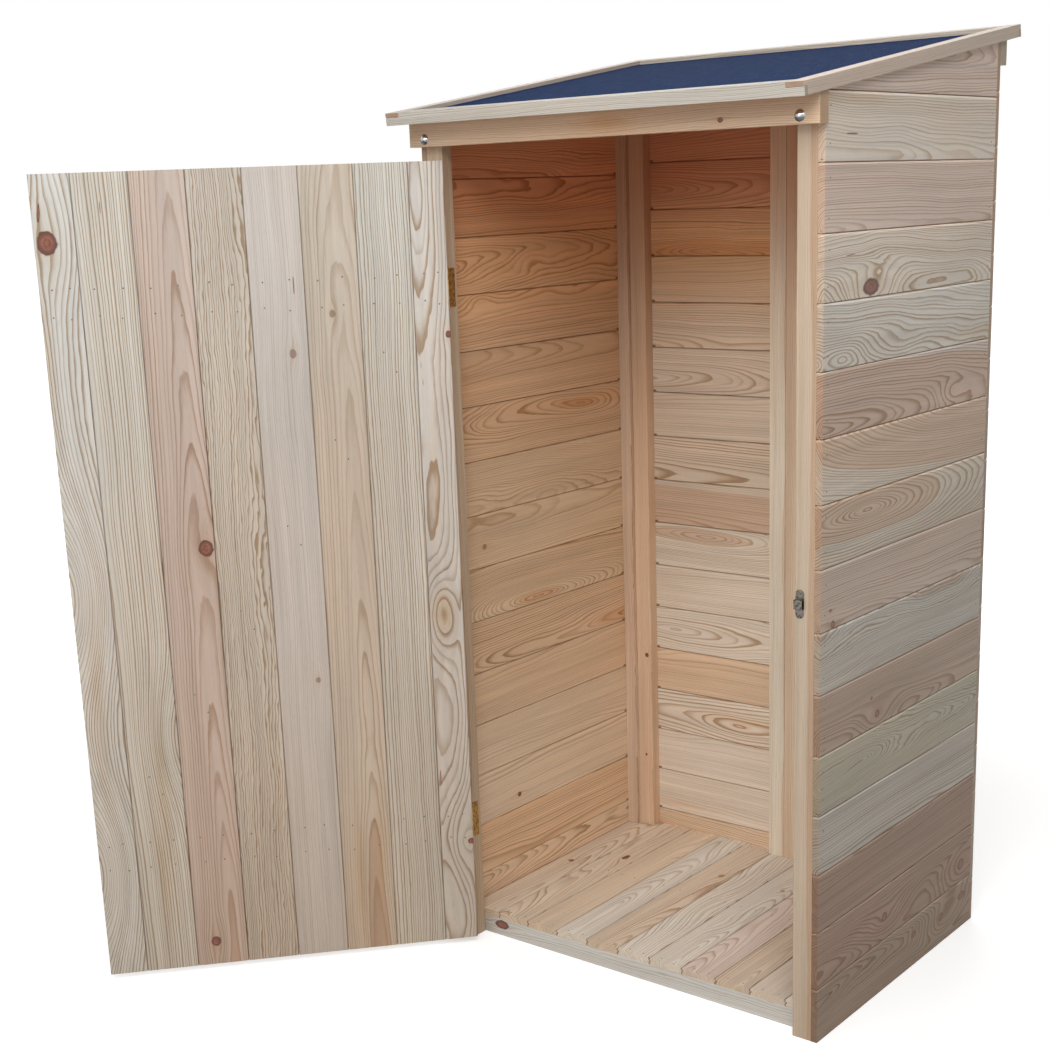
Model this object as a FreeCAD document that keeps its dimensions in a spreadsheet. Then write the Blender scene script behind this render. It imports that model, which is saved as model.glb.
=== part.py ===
import FreeCAD, Part
import math
import os

import Sketcher

# Garden storage cabinet: a tall narrow lean-to cabinet of tongue-and-groove boards, with one
# ledged and braced door on butt hinges, a slide bolt, a boarded floor on bearers and a felted
# roof edged with half-lapped L strips.
# Millimetres, +Z up, front towards -Y. The origin is on the ground at the middle of the body.

VECTOR = FreeCAD.Vector

# Driving dimensions
DIMENSIONS = [
    # Body over the wall boards
    ("cabinet_width", 900),
    ("cabinet_depth", 690),
    ("roof_front_height", 1737),
    ("roof_rise", 104),
    # Wall boards
    ("wall_thickness", 13),
    ("side_board_cover", 116),
    ("side_first_cover", 110),
    ("back_board_cover", 103.2),
    ("back_first_cover", 94),
    # Tongue and groove, shared by all boards
    ("tongue_length", 5),
    ("tongue_thickness", 3.6),
    ("fit_clearance", 0.3),
    ("joint_gap", 1),
    ("edge_chamfer", 1.4),
    # Frame
    ("post_width", 40),
    ("post_depth", 28),
    ("batten_width", 40),
    ("batten_thickness", 28),
    ("panel_joint", 0.6),
    ("lintel_height", 57),
    ("lintel_thickness", 28),
    ("lintel_overhang", 5),
    ("lintel_roof_gap", 1),
    ("rail_height", 47),
    ("rail_thickness", 28),
    # Lintel bolts
    ("bolt_rise", 14),
    ("bolt_radius", 4),
    ("bolt_hole_clearance", 0.5),
    ("bolt_head_radius", 10.3),
    ("bolt_head_height", 5),
    ("bolt_tail", 3),
    ("nut_height", 6.5),
    ("nut_flats", 13),
    ("washer_radius", 9),
    ("washer_thickness", 1.6),
    # Floor
    ("floor_thickness", 14),
    ("floor_board_count", 11),
    ("floor_last_board", 74),
    ("floor_setback", 1.5),
    ("bearer_height", 40),
    ("bearer_width", 28),
    # Door
    ("door_gap", 4),
    ("door_bottom", 14),
    ("door_height", 1639),
    ("door_board_thickness", 14),
    ("door_board_count", 8),
    ("door_hinge_board", 70.3),
    ("door_free_board", 76.7),
    ("ledge_thickness", 14),
    ("ledge_height", 90),
    ("brace_width", 90),
    ("door_open_angle", 131.5),
    # Hinges
    ("hinge_upper_height", 1408),
    ("hinge_lower_height", 272),
    ("hinge_length", 76),
    ("hinge_leaf_width", 20),
    ("hinge_leaf_thickness", 1.5),
    ("hinge_standoff", 4),
    ("knuckle_radius", 3.75),
    ("knuckle_gap", 0.4),
    ("pin_radius", 2.25),
    ("pin_clearance", 0.05),
    # Screws
    ("screw_radius", 1.6),
    ("screw_head_radius", 3.1),
    ("screw_length", 16),
    ("screw_pitch", 29.5),
    # Slide bolt and keeper
    ("latch_height", 856),
    ("latch_plate_thickness", 1.2),
    ("latch_plate_height", 34),
    ("latch_pad_length", 120),
    ("latch_pad_height", 70),
    ("bar_height", 14),
    ("bar_thickness", 5),
    ("bar_travel", 24),
    ("bar_clearance", 0.5),
    ("bar_setback", 2),
    ("strap_length", 12),
    ("strap_inset", 12),
    ("knob_gap", 2),
    ("strap_wall", 1.2),
    ("knob_radius", 6.5),
    ("knob_height", 12),
    ("keeper_height", 53),
    ("keeper_width", 17),
    ("keeper_edge", 2),
    ("plate_screw_length", 11),
    ("plate_screw_edge", 5.5),
    # Roof, square to its slope
    ("deck_thickness", 10),
    ("deck_board_cover", 90),
    ("felt_thickness", 2),
    ("overhang_front", 88),
    ("overhang_back", 71),
    ("strip_leg", 10),
    ("strip_lip", 34),
    ("strip_lip_thickness", 8.5),
    ("strip_drop", 3),
    ("lap_gap", 0.4),
]

doc = FreeCAD.newDocument("garden_storage_cabinet")
dims = doc.addObject("Spreadsheet::Sheet", "dims")
for row, (alias, number) in enumerate(DIMENSIONS, start=1):
    dims.set("A%d" % row, alias)
    dims.set("B%d" % row, str(number))
    dims.setAlias("B%d" % row, alias)
doc.recompute()

parts = []


def named(expression):
    """Writes the driving dimensions in an expression as cells of the sheet."""
    words = []
    word = ""
    for letter in expression + " ":
        if letter.isalnum() or letter == "_":
            word += letter
            continue
        words.append("dims." + word if word in NAMES else word)
        words.append(letter)
        word = ""
    return "".join(words).strip()


NAMES = {alias for alias, number in DIMENSIONS}


def size(expression):
    """The value of an expression of driving dimensions, in millimetres."""
    return float(dims.evalExpression(named(expression)))


# Places that several pieces share, as expressions of the driving dimensions
LEFT = "(-cabinet_width / 2)"
RIGHT = "(cabinet_width / 2)"
INNER = "(cabinet_width / 2 - wall_thickness)"
FRONT = "(-cabinet_depth / 2)"
BACK = "(cabinet_depth / 2)"
BACK_INNER = "(cabinet_depth / 2 - wall_thickness)"
REVEAL = "(cabinet_width / 2 - wall_thickness - post_width)"
POST_CENTRE = "(cabinet_width / 2 - wall_thickness - post_width / 2)"
FLOOR_FRONT = "(-cabinet_depth / 2 + post_depth + floor_setback)"
FLOOR_TOP = "(bearer_height + floor_thickness)"
LINTEL_BOTTOM = "(roof_front_height - lintel_height)"
BOLT_HEIGHT = "(roof_front_height - lintel_height + bolt_rise)"
BOLT_REACH = "(lintel_thickness + post_depth)"
SLOPE_LENGTH = "sqrt(cabinet_depth * cabinet_depth + roof_rise * roof_rise)"
TONGUE_HALF = "tongue_thickness / 2"
GROOVE_HALF = "(tongue_thickness / 2 + fit_clearance)"

# The door and its ironwork are drawn shut, from the hinge axis: X across, Y into the cabinet
DOOR_NEAR = "(door_gap / 2)"
DOOR_WIDTH = "(cabinet_width - 2 * wall_thickness - 2 * post_width - 2 * door_gap)"
DOOR_FAR = "(door_gap / 2 + %s)" % DOOR_WIDTH
DOOR_OUTER = "hinge_standoff"
LEDGE_INNER = "(hinge_standoff + ledge_thickness)"
DOOR_INNER = "(hinge_standoff + ledge_thickness + door_board_thickness)"
DOOR_TOP = "(door_bottom + door_height)"
AXIS_X = "(-cabinet_width / 2 + wall_thickness + post_width + door_gap / 2)"
AXIS_Y = "(-cabinet_depth / 2 - hinge_standoff)"


def roof_underside(across):
    """Height of the roof's lower face over the place with this Y."""
    return "(roof_front_height + roof_rise * (%s + cabinet_depth / 2) / cabinet_depth)" % across


def body_named(label):
    body = doc.addObject("PartDesign::Body", label)
    body.Label = label
    body.AllowCompound = True
    parts.append(body)
    return body


def origin_feature(body, role):
    return [item for item in body.Origin.OriginFeatures if item.Role == role][0]


def new_sketch(body, plane, level="0"):
    """A sketch square to an axis of its body, at the given level along that axis."""
    sketch = body.newObject("Sketcher::SketchObject", "sketch")
    sketch.AttachmentSupport = (origin_feature(body, plane + "_Plane"), [""])
    sketch.MapMode = "FlatFace"
    sign = "-" if plane == "XZ" else ""
    sketch.setExpression("AttachmentOffset.Base.z", named("%s(%s)" % (sign, level)))
    return sketch


def bind(sketch, kind, place, expression):
    """Sets one dimension of a sketch from the sheet, measured from the sketch's origin."""
    constraint = Sketcher.Constraint(kind, -1, 1, place[0], place[1], size(expression))
    number = sketch.addConstraint(constraint)
    sketch.setExpression("Constraints[%d]" % number, named(expression))


def add_outline(sketch, corners):
    """A closed outline of straight edges through the corners, each bound to the sheet."""
    first = sketch.GeometryCount
    count = len(corners)
    values = [VECTOR(size(across), size(along), 0) for across, along in corners]
    for index in range(count):
        sketch.addGeometry(Part.LineSegment(values[index], values[(index + 1) % count]))
    for index in range(count):
        following = first + (index + 1) % count
        sketch.addConstraint(Sketcher.Constraint("Coincident", first + index, 2, following, 1))
    for index, (across, along) in enumerate(corners):
        bind(sketch, "DistanceX", (first + index, 1), across)
        bind(sketch, "DistanceY", (first + index, 1), along)


def add_circle(sketch, across, along, radius):
    centre = VECTOR(size(across), size(along), 0)
    number = sketch.addGeometry(Part.Circle(centre, VECTOR(0, 0, 1), size(radius)))
    bind(sketch, "DistanceX", (number, 3), across)
    bind(sketch, "DistanceY", (number, 3), along)
    index = sketch.addConstraint(Sketcher.Constraint("Radius", number, size(radius)))
    sketch.setExpression("Constraints[%d]" % index, named(radius))


SCREW_SIDES = 8


def add_screw_seat(sketch, across, along):
    """Outline of a countersink for one screw head, with as many sides as the head."""
    radius = "(screw_head_radius + fit_clearance)"
    corners = []
    for index in range(SCREW_SIDES):
        turn = 2 * math.pi * index / SCREW_SIDES
        corners.append((
            "%s + %s * %.6f" % (across, radius, math.cos(turn)),
            "%s + %s * %.6f" % (along, radius, math.sin(turn)),
        ))
    add_outline(sketch, corners)


def rectangle(low_across, high_across, low_along, high_along):
    return [
        (low_across, low_along),
        (high_across, low_along),
        (high_across, high_along),
        (low_across, high_along),
    ]


def pad(body, sketch, plane, length):
    """Thickens a sketch towards the positive end of the axis that it is square to."""
    feature = body.newObject("PartDesign::Pad", "pad")
    feature.Profile = sketch
    feature.Reversed = plane == "XZ"
    feature.setExpression("Length", named(length))
    return feature


def cut_through(body, sketch):
    """Cuts a sketch right through the piece, both ways, and makes sure that it removed wood."""
    before = volume_so_far(body)
    feature = body.newObject("PartDesign::Pocket", "cut")
    feature.Profile = sketch
    feature.Type = "ThroughAll"
    feature.Midplane = True
    doc.recompute()
    if not feature.Shape.Volume < before:
        raise RuntimeError("a cut in %s removes nothing" % body.Label)
    return feature


def cut_depth(body, sketch, depth, reverse, taper=None):
    """Cuts a sketch to a depth, on the side that the caller names."""
    before = volume_so_far(body)
    feature = body.newObject("PartDesign::Pocket", "cut")
    feature.Profile = sketch
    feature.Reversed = reverse
    feature.setExpression("Length", named(depth))
    if taper is not None:
        feature.TaperAngle = taper
    doc.recompute()
    if not feature.Shape.Volume < before:
        raise RuntimeError("a cut in %s removes nothing" % body.Label)
    return feature


def volume_so_far(body):
    doc.recompute()
    return body.Tip.Shape.Volume


def repeat(body, originals, axis, spacing, count):
    """Repeats features along an axis, as often as the sheet's dimensions ask."""
    feature = body.newObject("PartDesign::LinearPattern", "courses")
    feature.Originals = originals
    feature.Direction = (origin_feature(body, axis + "_Axis"), [""])
    feature.Mode = "Spacing"
    feature.setExpression("Offset", named(spacing))
    feature.setExpression("Occurrences", named(count))
    body.Tip = feature
    return feature


def prism(label, plane, level, corners, length):
    """A straight piece with one outline, the form of most of the timber."""
    body = body_named(label)
    sketch = new_sketch(body, plane, level)
    add_outline(sketch, corners)
    pad(body, sketch, plane, length)
    return body


def move(body, across, depth, height, axis=None, angle=None):
    """Places a piece that is drawn in a frame of its own."""
    if axis is not None:
        body.Placement = FreeCAD.Placement(VECTOR(0, 0, 0), FreeCAD.Rotation(axis, 1))
        body.setExpression("Placement.Rotation.Angle", named(angle))
    body.setExpression("Placement.Base.x", named(across))
    body.setExpression("Placement.Base.y", named(depth))
    body.setExpression("Placement.Base.z", named(height))


def hang_on_hinge(body):
    """Swings a piece of the door from its shut place to the angle at which it stands open."""
    move(body, AXIS_X, AXIS_Y, "0", VECTOR(0, 0, -1), "door_open_angle")


# Tongue-and-groove boards


def board_outline(low, high, face, back, groove=True, tongue=True, upright=False):
    """Section of a board that covers low to high, between its two faces.

    Its groove is at the low edge and its tongue stands past the high edge, into the next board.
    Both edges are chamfered on both faces, so that a V shows at each joint.
    """
    middle = "((%s + %s) / 2)" % (face, back)
    near, far = middle + " - ", middle + " + "
    top = "(%s - joint_gap)" % high
    if not tongue:
        top = high
    points = [("%s + edge_chamfer" % face, low)]
    if groove:
        points += [
            (near + GROOVE_HALF, low),
            (near + GROOVE_HALF, low + " + tongue_length"),
            (far + GROOVE_HALF, low + " + tongue_length"),
            (far + GROOVE_HALF, low),
        ]
    points += [
        ("%s - edge_chamfer" % back, low),
        (back, low + " + edge_chamfer"),
        (back, top + " - edge_chamfer"),
        ("%s - edge_chamfer" % back, top),
    ]
    if tongue:
        points += [
            (far + TONGUE_HALF, top),
            (far + TONGUE_HALF, top + " + tongue_length"),
            (near + TONGUE_HALF, top + " + tongue_length"),
            (near + TONGUE_HALF, top),
        ]
    points += [
        ("%s + edge_chamfer" % face, top),
        (face, top + " - edge_chamfer"),
        (face, low + " + edge_chamfer"),
    ]
    if upright:
        return points
    return [(along, across) for across, along in points]


def board_spans(total, count, first, last):
    """Low and high edge of each board: the first and last as given, the others sharing the rest.

    Leave out the first to have it share with the others.
    """
    boards = int(size(count))
    start = first if first is not None else "0"
    shared = boards - (1 if first is None else 2)
    cover = "((%s - %s - %s) / %d)" % (total, start, last, shared)
    low = "0"
    edges = []
    if first is not None:
        edges.append((low, first))
        low = first
    for index in range(shared):
        edges.append((
            "(%s + %d * %s)" % (low, index, cover),
            "(%s + %d * %s)" % (low, index + 1, cover),
        ))
    edges.append(("(%s - %s)" % (total, last), total))
    return edges


def wall_of_courses(label, plane, level, length, face, back, cover, first_cover):
    """Level boards nailed up from the ground, ripped at the ground and cut to the roof's slope."""
    body = body_named(label)
    sketch = new_sketch(body, plane, level)
    start = "(%s - %s)" % (first_cover, cover)
    add_outline(sketch, board_outline(start, "%s + %s" % (start, cover), face, back, upright=True))
    board = pad(body, sketch, plane, length)
    highest = roof_underside(BACK)
    repeat(body, [board], "Z", cover, "ceil((%s - %s) / %s)" % (highest, start, cover))
    trim = new_sketch(body, "YZ")
    near = "(%s - wall_thickness)" % FRONT
    far = "(%s + wall_thickness)" % BACK
    above = "(roof_front_height + roof_rise + 3 * %s)" % cover
    add_outline(trim, [(near, roof_underside(near)), (far, roof_underside(far)), (far, above), (near, above)])
    add_outline(trim, rectangle(near, far, "-" + cover, "0"))
    cut_through(body, trim)
    return body


def build_walls():
    depth = "(%s - %s)" % (BACK_INNER, FRONT)
    sides = [("left_wall_boards", LEFT, "(-%s)" % INNER), ("right_wall_boards", INNER, RIGHT)]
    for label, face, back in sides:
        wall_of_courses(label, "XZ", FRONT, depth, face, back, "side_board_cover", "side_first_cover")
    back = wall_of_courses(
        "back_wall_boards", "YZ", LEFT, "cabinet_width", BACK_INNER, BACK, "back_board_cover", "back_first_cover"
    )
    # The back is two panels that meet in the middle
    joint = new_sketch(back, "XZ")
    above = "(roof_front_height + 2 * roof_rise)"
    add_outline(joint, rectangle("(-panel_joint / 2)", "(panel_joint / 2)", "(-back_board_cover)", above))
    cut_through(back, joint)


# Posts, battens, lintel and rail: their tops follow the roof's slope


def upright_section(near, far, foot, below_roof="0"):
    """Section square to X of a piece whose top lies along the roof, or the given drop below it."""
    far_top, near_top = ["%s - %s" % (roof_underside(place), below_roof) for place in (far, near)]
    return [(near, foot), (far, foot), (far, far_top), (near, near_top)]


def drill_lintel_holes(body, places):
    sketch = new_sketch(body, "XZ")
    for across in places:
        add_circle(sketch, across, BOLT_HEIGHT, "bolt_radius + bolt_hole_clearance")
    cut_through(body, sketch)


def build_frame():
    post_back = "(%s + post_depth)" % FRONT
    for side, low, centre in (("left", "(-%s)" % INNER, "(-%s)" % POST_CENTRE), ("right", REVEAL, POST_CENTRE)):
        post = prism(side + "_front_post", "YZ", low, upright_section(FRONT, post_back, "0"), "post_width")
        drill_lintel_holes(post, [centre])

    side_near = "(%s - batten_width)" % BACK_INNER
    back_near = "(%s - batten_thickness)" % BACK_INNER
    side_low = "(%s - batten_thickness)" % INNER
    back_low = "(%s - batten_thickness - batten_width)" % INNER
    for side, outer, inner in (
        ("left", "(-%s)" % INNER, "(-%s + batten_thickness)" % INNER),
        ("right", side_low, back_low),
    ):
        section = upright_section(side_near, BACK_INNER, FLOOR_TOP)
        prism(side + "_rear_side_batten", "YZ", outer, section, "batten_thickness")
        section = upright_section(back_near, BACK_INNER, FLOOR_TOP)
        prism(side + "_rear_back_batten", "YZ", inner, section, "batten_width")

    # One batten for each back panel, side by side at their joint
    middle = prism("middle_battens", "YZ", "(-batten_width - panel_joint / 2)", section, "batten_width")
    repeat(middle, [middle.Tip], "X", "batten_width + panel_joint", "2")

    # The lintel's ends stand under the side strips of the roof, so its top stays below them
    lintel_front = "(%s - lintel_thickness)" % FRONT
    lintel = prism(
        "lintel",
        "YZ",
        "(%s - lintel_overhang)" % LEFT,
        upright_section(lintel_front, FRONT, LINTEL_BOTTOM, "(strip_drop + lintel_roof_gap)"),
        "cabinet_width + 2 * lintel_overhang",
    )
    drill_lintel_holes(lintel, ["-" + POST_CENTRE, POST_CENTRE])

    rail_back = "(%s + rail_thickness)" % BACK
    rail_foot = "(%s - rail_height)" % roof_underside(BACK)
    prism("rear_rail", "YZ", LEFT, upright_section(BACK, rail_back, rail_foot), "cabinet_width")


def build_lintel_bolts():
    """Dome-headed bolts through the lintel and the posts, with a washer and nut behind each."""
    spacing = "2 * " + POST_CENTRE
    bolts = body_named("lintel_bolts")
    sketch = new_sketch(bolts, "XY")
    shank_end = "%s + washer_thickness + nut_height + bolt_tail" % BOLT_REACH
    dome_x = size("bolt_head_radius")
    dome_y = size("bolt_head_height")
    radius = (dome_x * dome_x + dome_y * dome_y) / (2 * dome_y)
    centre = VECTOR(0, radius - dome_y, 0)
    crown = sketch.addGeometry(
        Part.ArcOfCircle(Part.Circle(centre, VECTOR(0, 0, 1), radius), 1.5 * math.pi,
                         2 * math.pi - math.acos(dome_x / radius))
    )
    rim = [("bolt_head_radius", "0"), ("bolt_radius", "0"), ("bolt_radius", shank_end), ("0", shank_end),
           ("0", "-bolt_head_height")]
    values = [VECTOR(size(across), size(along), 0) for across, along in rim]
    for start, end in zip(values, values[1:]):
        sketch.addGeometry(Part.LineSegment(start, end))
    last = len(rim) - 1
    sketch.addConstraint(Sketcher.Constraint("Coincident", crown, 2, crown + 1, 1))
    for index in range(1, last):
        sketch.addConstraint(Sketcher.Constraint("Coincident", crown + index, 2, crown + index + 1, 1))
    sketch.addConstraint(Sketcher.Constraint("Coincident", crown + last, 2, crown, 1))
    for index, (across, along) in enumerate(rim[:-1]):
        bind(sketch, "DistanceX", (crown + 1 + index, 1), across)
        bind(sketch, "DistanceY", (crown + 1 + index, 1), along)
    bind(sketch, "DistanceX", (crown + last, 2), rim[-1][0])
    bind(sketch, "DistanceY", (crown + last, 2), rim[-1][1])
    sketch.addConstraint(Sketcher.Constraint("PointOnObject", crown, 3, -2))
    turned = bolts.newObject("PartDesign::Revolution", "turned")
    turned.Profile = sketch
    turned.ReferenceAxis = (sketch, ["V_Axis"])
    repeat(bolts, [turned], "X", spacing, "2")
    move(bolts, "-" + POST_CENTRE, "%s - lintel_thickness" % FRONT, BOLT_HEIGHT)

    nuts = body_named("lintel_nuts")
    washer_sketch = new_sketch(nuts, "XZ")
    add_circle(washer_sketch, "0", "0", "washer_radius")
    washer = pad(nuts, washer_sketch, "XZ", "washer_thickness")
    hexagon = new_sketch(nuts, "XZ", "washer_thickness")
    half = "nut_flats / 2"
    quarter = "nut_flats / 2 / sqrt(3)"
    add_outline(hexagon, [
        (half, "-" + quarter), (half, quarter), ("0", "2 * " + quarter),
        ("-" + half, quarter), ("-" + half, "-" + quarter), ("0", "-2 * " + quarter),
    ])
    nut = pad(nuts, hexagon, "XZ", "nut_height")
    repeat(nuts, [washer, nut], "X", spacing, "2")
    bore = new_sketch(nuts, "XZ")
    add_circle(bore, "0", "0", "bolt_radius + pin_clearance")
    add_circle(bore, spacing, "0", "bolt_radius + pin_clearance")
    cut_through(nuts, bore)
    move(nuts, "-" + POST_CENTRE, "%s + post_depth" % FRONT, BOLT_HEIGHT)


def build_floor():
    """Boards laid front to back on three bearers, between the walls and behind the posts."""
    total = "(2 * %s)" % INNER
    length = "(%s - %s)" % (BACK_INNER, FLOOR_FRONT)
    spans = board_spans(total, "floor_board_count", None, "floor_last_board")
    for index, (low, high) in enumerate(spans):
        outline = board_outline(
            "(%s - %s)" % (low, INNER),
            "(%s - %s)" % (high, INNER),
            "bearer_height",
            FLOOR_TOP,
            groove=index > 0,
            tongue=index < len(spans) - 1,
        )
        prism("floor_board_%02d" % (index + 1), "XZ", FLOOR_FRONT, outline, length)

    bearers = [
        ("front", FLOOR_FRONT, "(%s + bearer_width)" % FLOOR_FRONT),
        ("middle", "(-bearer_width / 2)", "(bearer_width / 2)"),
        ("rear", "(%s - bearer_width)" % BACK_INNER, BACK_INNER),
    ]
    for place, near, far in bearers:
        outline = rectangle(near, far, "0", "bearer_height")
        prism("floor_bearer_" + place, "YZ", "(-%s)" % INNER, outline, total)


# Door, drawn shut in the frame of the hinge axis


def build_door_boards():
    spans = board_spans(DOOR_WIDTH, "door_board_count", "door_hinge_board", "door_free_board")
    for index, (low, high) in enumerate(spans):
        outline = board_outline(
            "(%s + %s)" % (low, DOOR_NEAR),
            "(%s + %s)" % (high, DOOR_NEAR),
            LEDGE_INNER,
            DOOR_INNER,
            groove=index > 0,
            tongue=index < len(spans) - 1,
        )
        hang_on_hinge(prism("door_board_%d" % (index + 1), "XY", "door_bottom", outline, "door_height"))


def build_door_back():
    """Two ledges and a brace that rises from the free edge to the upper hinge, and the bolt's pad."""
    half = "ledge_height / 2"
    for place, centre in (("top", "hinge_upper_height"), ("bottom", "hinge_lower_height")):
        outline = rectangle(DOOR_NEAR, DOOR_FAR, "%s - %s" % (centre, half), "%s + %s" % (centre, half))
        hang_on_hinge(prism("door_ledge_" + place, "XZ", DOOR_OUTER, outline, "ledge_thickness"))

    low = "(hinge_lower_height + %s)" % half
    high = "(hinge_upper_height - %s)" % half
    rise = "(hinge_upper_height - hinge_lower_height - ledge_height)"
    run = "(%s - brace_width)" % DOOR_WIDTH
    foot = "(brace_width * sqrt(1 + %s * %s / %s / %s))" % (run, run, rise, rise)
    outline = [
        ("%s - %s" % (DOOR_FAR, foot), low),
        (DOOR_FAR, low),
        ("%s + %s" % (DOOR_NEAR, foot), high),
        (DOOR_NEAR, high),
    ]
    hang_on_hinge(prism("door_brace", "XZ", DOOR_OUTER, outline, "ledge_thickness"))

    outline = rectangle(
        "%s - latch_pad_length" % DOOR_FAR,
        DOOR_FAR,
        "latch_height - latch_pad_height / 2",
        "latch_height + latch_pad_height / 2",
    )
    hang_on_hinge(prism("bolt_pad", "XZ", DOOR_OUTER, outline, "ledge_thickness"))


# Butt hinges


KNUCKLES = 3
COUNTERSINK = 45


def knuckle_cut(body, numbers):
    """Clears the other leaf's knuckles, with a ring cut away round the axis at each of them."""
    sketch = new_sketch(body, "XZ")
    reach = "(knuckle_radius + knuckle_gap)"
    for number in numbers:
        low = "(hinge_length * %d / %d - hinge_length / 2 - knuckle_gap / 2)" % (number, KNUCKLES)
        high = "(hinge_length * %d / %d - hinge_length / 2 + knuckle_gap / 2)" % (number + 1, KNUCKLES)
        if number == 0:
            low = "(-hinge_length / 2 - knuckle_gap)"
        if number == KNUCKLES - 1:
            high = "(hinge_length / 2 + knuckle_gap)"
        add_outline(sketch, rectangle("0", reach, low, high))
    groove(body, sketch)


def groove(body, sketch):
    before = volume_so_far(body)
    feature = body.newObject("PartDesign::Groove", "ring")
    feature.Profile = sketch
    feature.ReferenceAxis = (sketch, ["V_Axis"])
    doc.recompute()
    if not feature.Shape.Volume < before:
        raise RuntimeError("a ring in %s removes nothing" % body.Label)


LEAF_REACH = "(hinge_leaf_width + hinge_standoff)"
SCREW_HEIGHTS = ["-screw_pitch", "0", "screw_pitch"]
SCREW_REACH = "(hinge_standoff + hinge_leaf_width / 2)"


def hinge_leaf(label, low, high, cut_knuckles, face_high):
    """One leaf with its knuckles, drawn round the axis, with three countersunk holes."""
    body = body_named(label)
    half = "hinge_length / 2"
    sketch = new_sketch(body, "XY", "-" + half)
    add_outline(sketch, rectangle(low, high, "0", LEAF_REACH))
    pad(body, sketch, "XY", "hinge_length")
    barrel = new_sketch(body, "XY", "-" + half)
    add_circle(barrel, "0", "0", "knuckle_radius")
    pad(body, barrel, "XY", "hinge_length")
    bore = new_sketch(body, "XZ")
    add_outline(bore, rectangle("0", "pin_radius + pin_clearance", "-hinge_length", "hinge_length"))
    groove(body, bore)
    knuckle_cut(body, cut_knuckles)
    seats = new_sketch(body, "YZ", high if face_high else low)
    for height in SCREW_HEIGHTS:
        add_screw_seat(seats, SCREW_REACH, height)
    cut_depth(body, seats, "hinge_leaf_thickness", reverse=not face_high, taper=-COUNTERSINK)
    return body


def build_hinges():
    leaf_low = "(door_gap / 2 - hinge_leaf_thickness)"
    for place in ("upper", "lower"):
        height = "hinge_%s_height" % place
        frame_leaf = hinge_leaf(
            place + "_hinge_frame_leaf", "(-door_gap / 2)", "(-%s)" % leaf_low, [1], face_high=True
        )
        move(frame_leaf, AXIS_X, AXIS_Y, height)
        door_leaf = hinge_leaf(
            place + "_hinge_door_leaf", leaf_low, "(door_gap / 2)", [0, 2], face_high=False
        )
        move(door_leaf, AXIS_X, AXIS_Y, height, VECTOR(0, 0, -1), "door_open_angle")

        pin = body_named(place + "_hinge_pin")
        sketch = new_sketch(pin, "XY", "-hinge_length / 2")
        add_circle(sketch, "0", "0", "pin_radius")
        pad(pin, sketch, "XY", "hinge_length")
        move(pin, AXIS_X, AXIS_Y, height)


# Groups of like screws, each screw a solid of its own


def screw_ring(radius, reach):
    corners = []
    for index in range(SCREW_SIDES):
        turn = 2 * math.pi * index / SCREW_SIDES
        corners.append(VECTOR(reach, radius * math.cos(turn), radius * math.sin(turn)))
    return corners


def flat_face(corners):
    return Part.Face(Part.makePolygon(corners + corners[:1]))


def screw_shape(length):
    """A countersunk screw, driven along +X, with the face of its head at X = 0."""
    head = size("screw_head_radius")
    shank = size("screw_radius")
    rings = [screw_ring(head, 0), screw_ring(shank, head - shank), screw_ring(shank, length)]
    faces = [flat_face(rings[0]), flat_face(rings[-1])]
    for near, far in zip(rings, rings[1:]):
        for index in range(SCREW_SIDES):
            faces.append(flat_face([near[index], near[index - 1], far[index - 1], far[index]]))
    shell = Part.Shell(faces)
    shell.sewShape()
    screw = Part.Solid(shell)
    if screw.Volume < 0:
        screw.reverse()
    return screw


def screw_group(label, length, places, direction, placement=None):
    feature = doc.addObject("Part::Feature", label)
    feature.Label = label
    turn = FreeCAD.Rotation(VECTOR(1, 0, 0), direction)
    solids = []
    for place in places:
        screw = screw_shape(length)
        screw.Placement = FreeCAD.Placement(VECTOR(*[size(item) for item in place]), turn)
        solids.append(screw)
    feature.Shape = Part.makeCompound(solids)
    if placement is not None:
        feature.Placement = placement
    parts.append(feature)


def build_screws():
    heights = [
        "%s + %s" % (centre, rise)
        for centre in ("hinge_upper_height", "hinge_lower_height")
        for rise in SCREW_HEIGHTS
    ]
    at_axis = FreeCAD.Placement(VECTOR(size(AXIS_X), size(AXIS_Y), 0), FreeCAD.Rotation())
    swung = FreeCAD.Placement(
        at_axis.Base, FreeCAD.Rotation(VECTOR(0, 0, -1), size("door_open_angle"))
    )
    leaf_face = "door_gap / 2 - hinge_leaf_thickness"
    screw_group(
        "hinge_screws_frame", size("screw_length"),
        [("-(%s)" % leaf_face, SCREW_REACH, height) for height in heights], VECTOR(-1, 0, 0), at_axis,
    )
    screw_group(
        "hinge_screws_door", size("screw_length"),
        [(leaf_face, SCREW_REACH, height) for height in heights], VECTOR(1, 0, 0), swung,
    )
    keeper_face = "%s - latch_plate_thickness" % FRONT
    keeper_middle = "%s + keeper_edge + keeper_width / 2" % REVEAL
    tab = "(keeper_height / 2 - keeper_width / 2)"
    screw_group(
        "keeper_screws", size("plate_screw_length"),
        [(keeper_middle, keeper_face, "latch_height + %s%s" % (sign, tab)) for sign in ("-", "")],
        VECTOR(0, 1, 0),
    )
    screw_group(
        "bolt_plate_screws", size("plate_screw_length"),
        [(across, PLATE_FACE, "latch_height %s %s" % (sign, PLATE_SCREW_RISE))
         for across in (PLATE_SCREW_NEAR, PLATE_SCREW_FAR) for sign in "-+"],
        VECTOR(0, 1, 0), swung,
    )


# Slide bolt on the door, and its keeper on the right post

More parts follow.
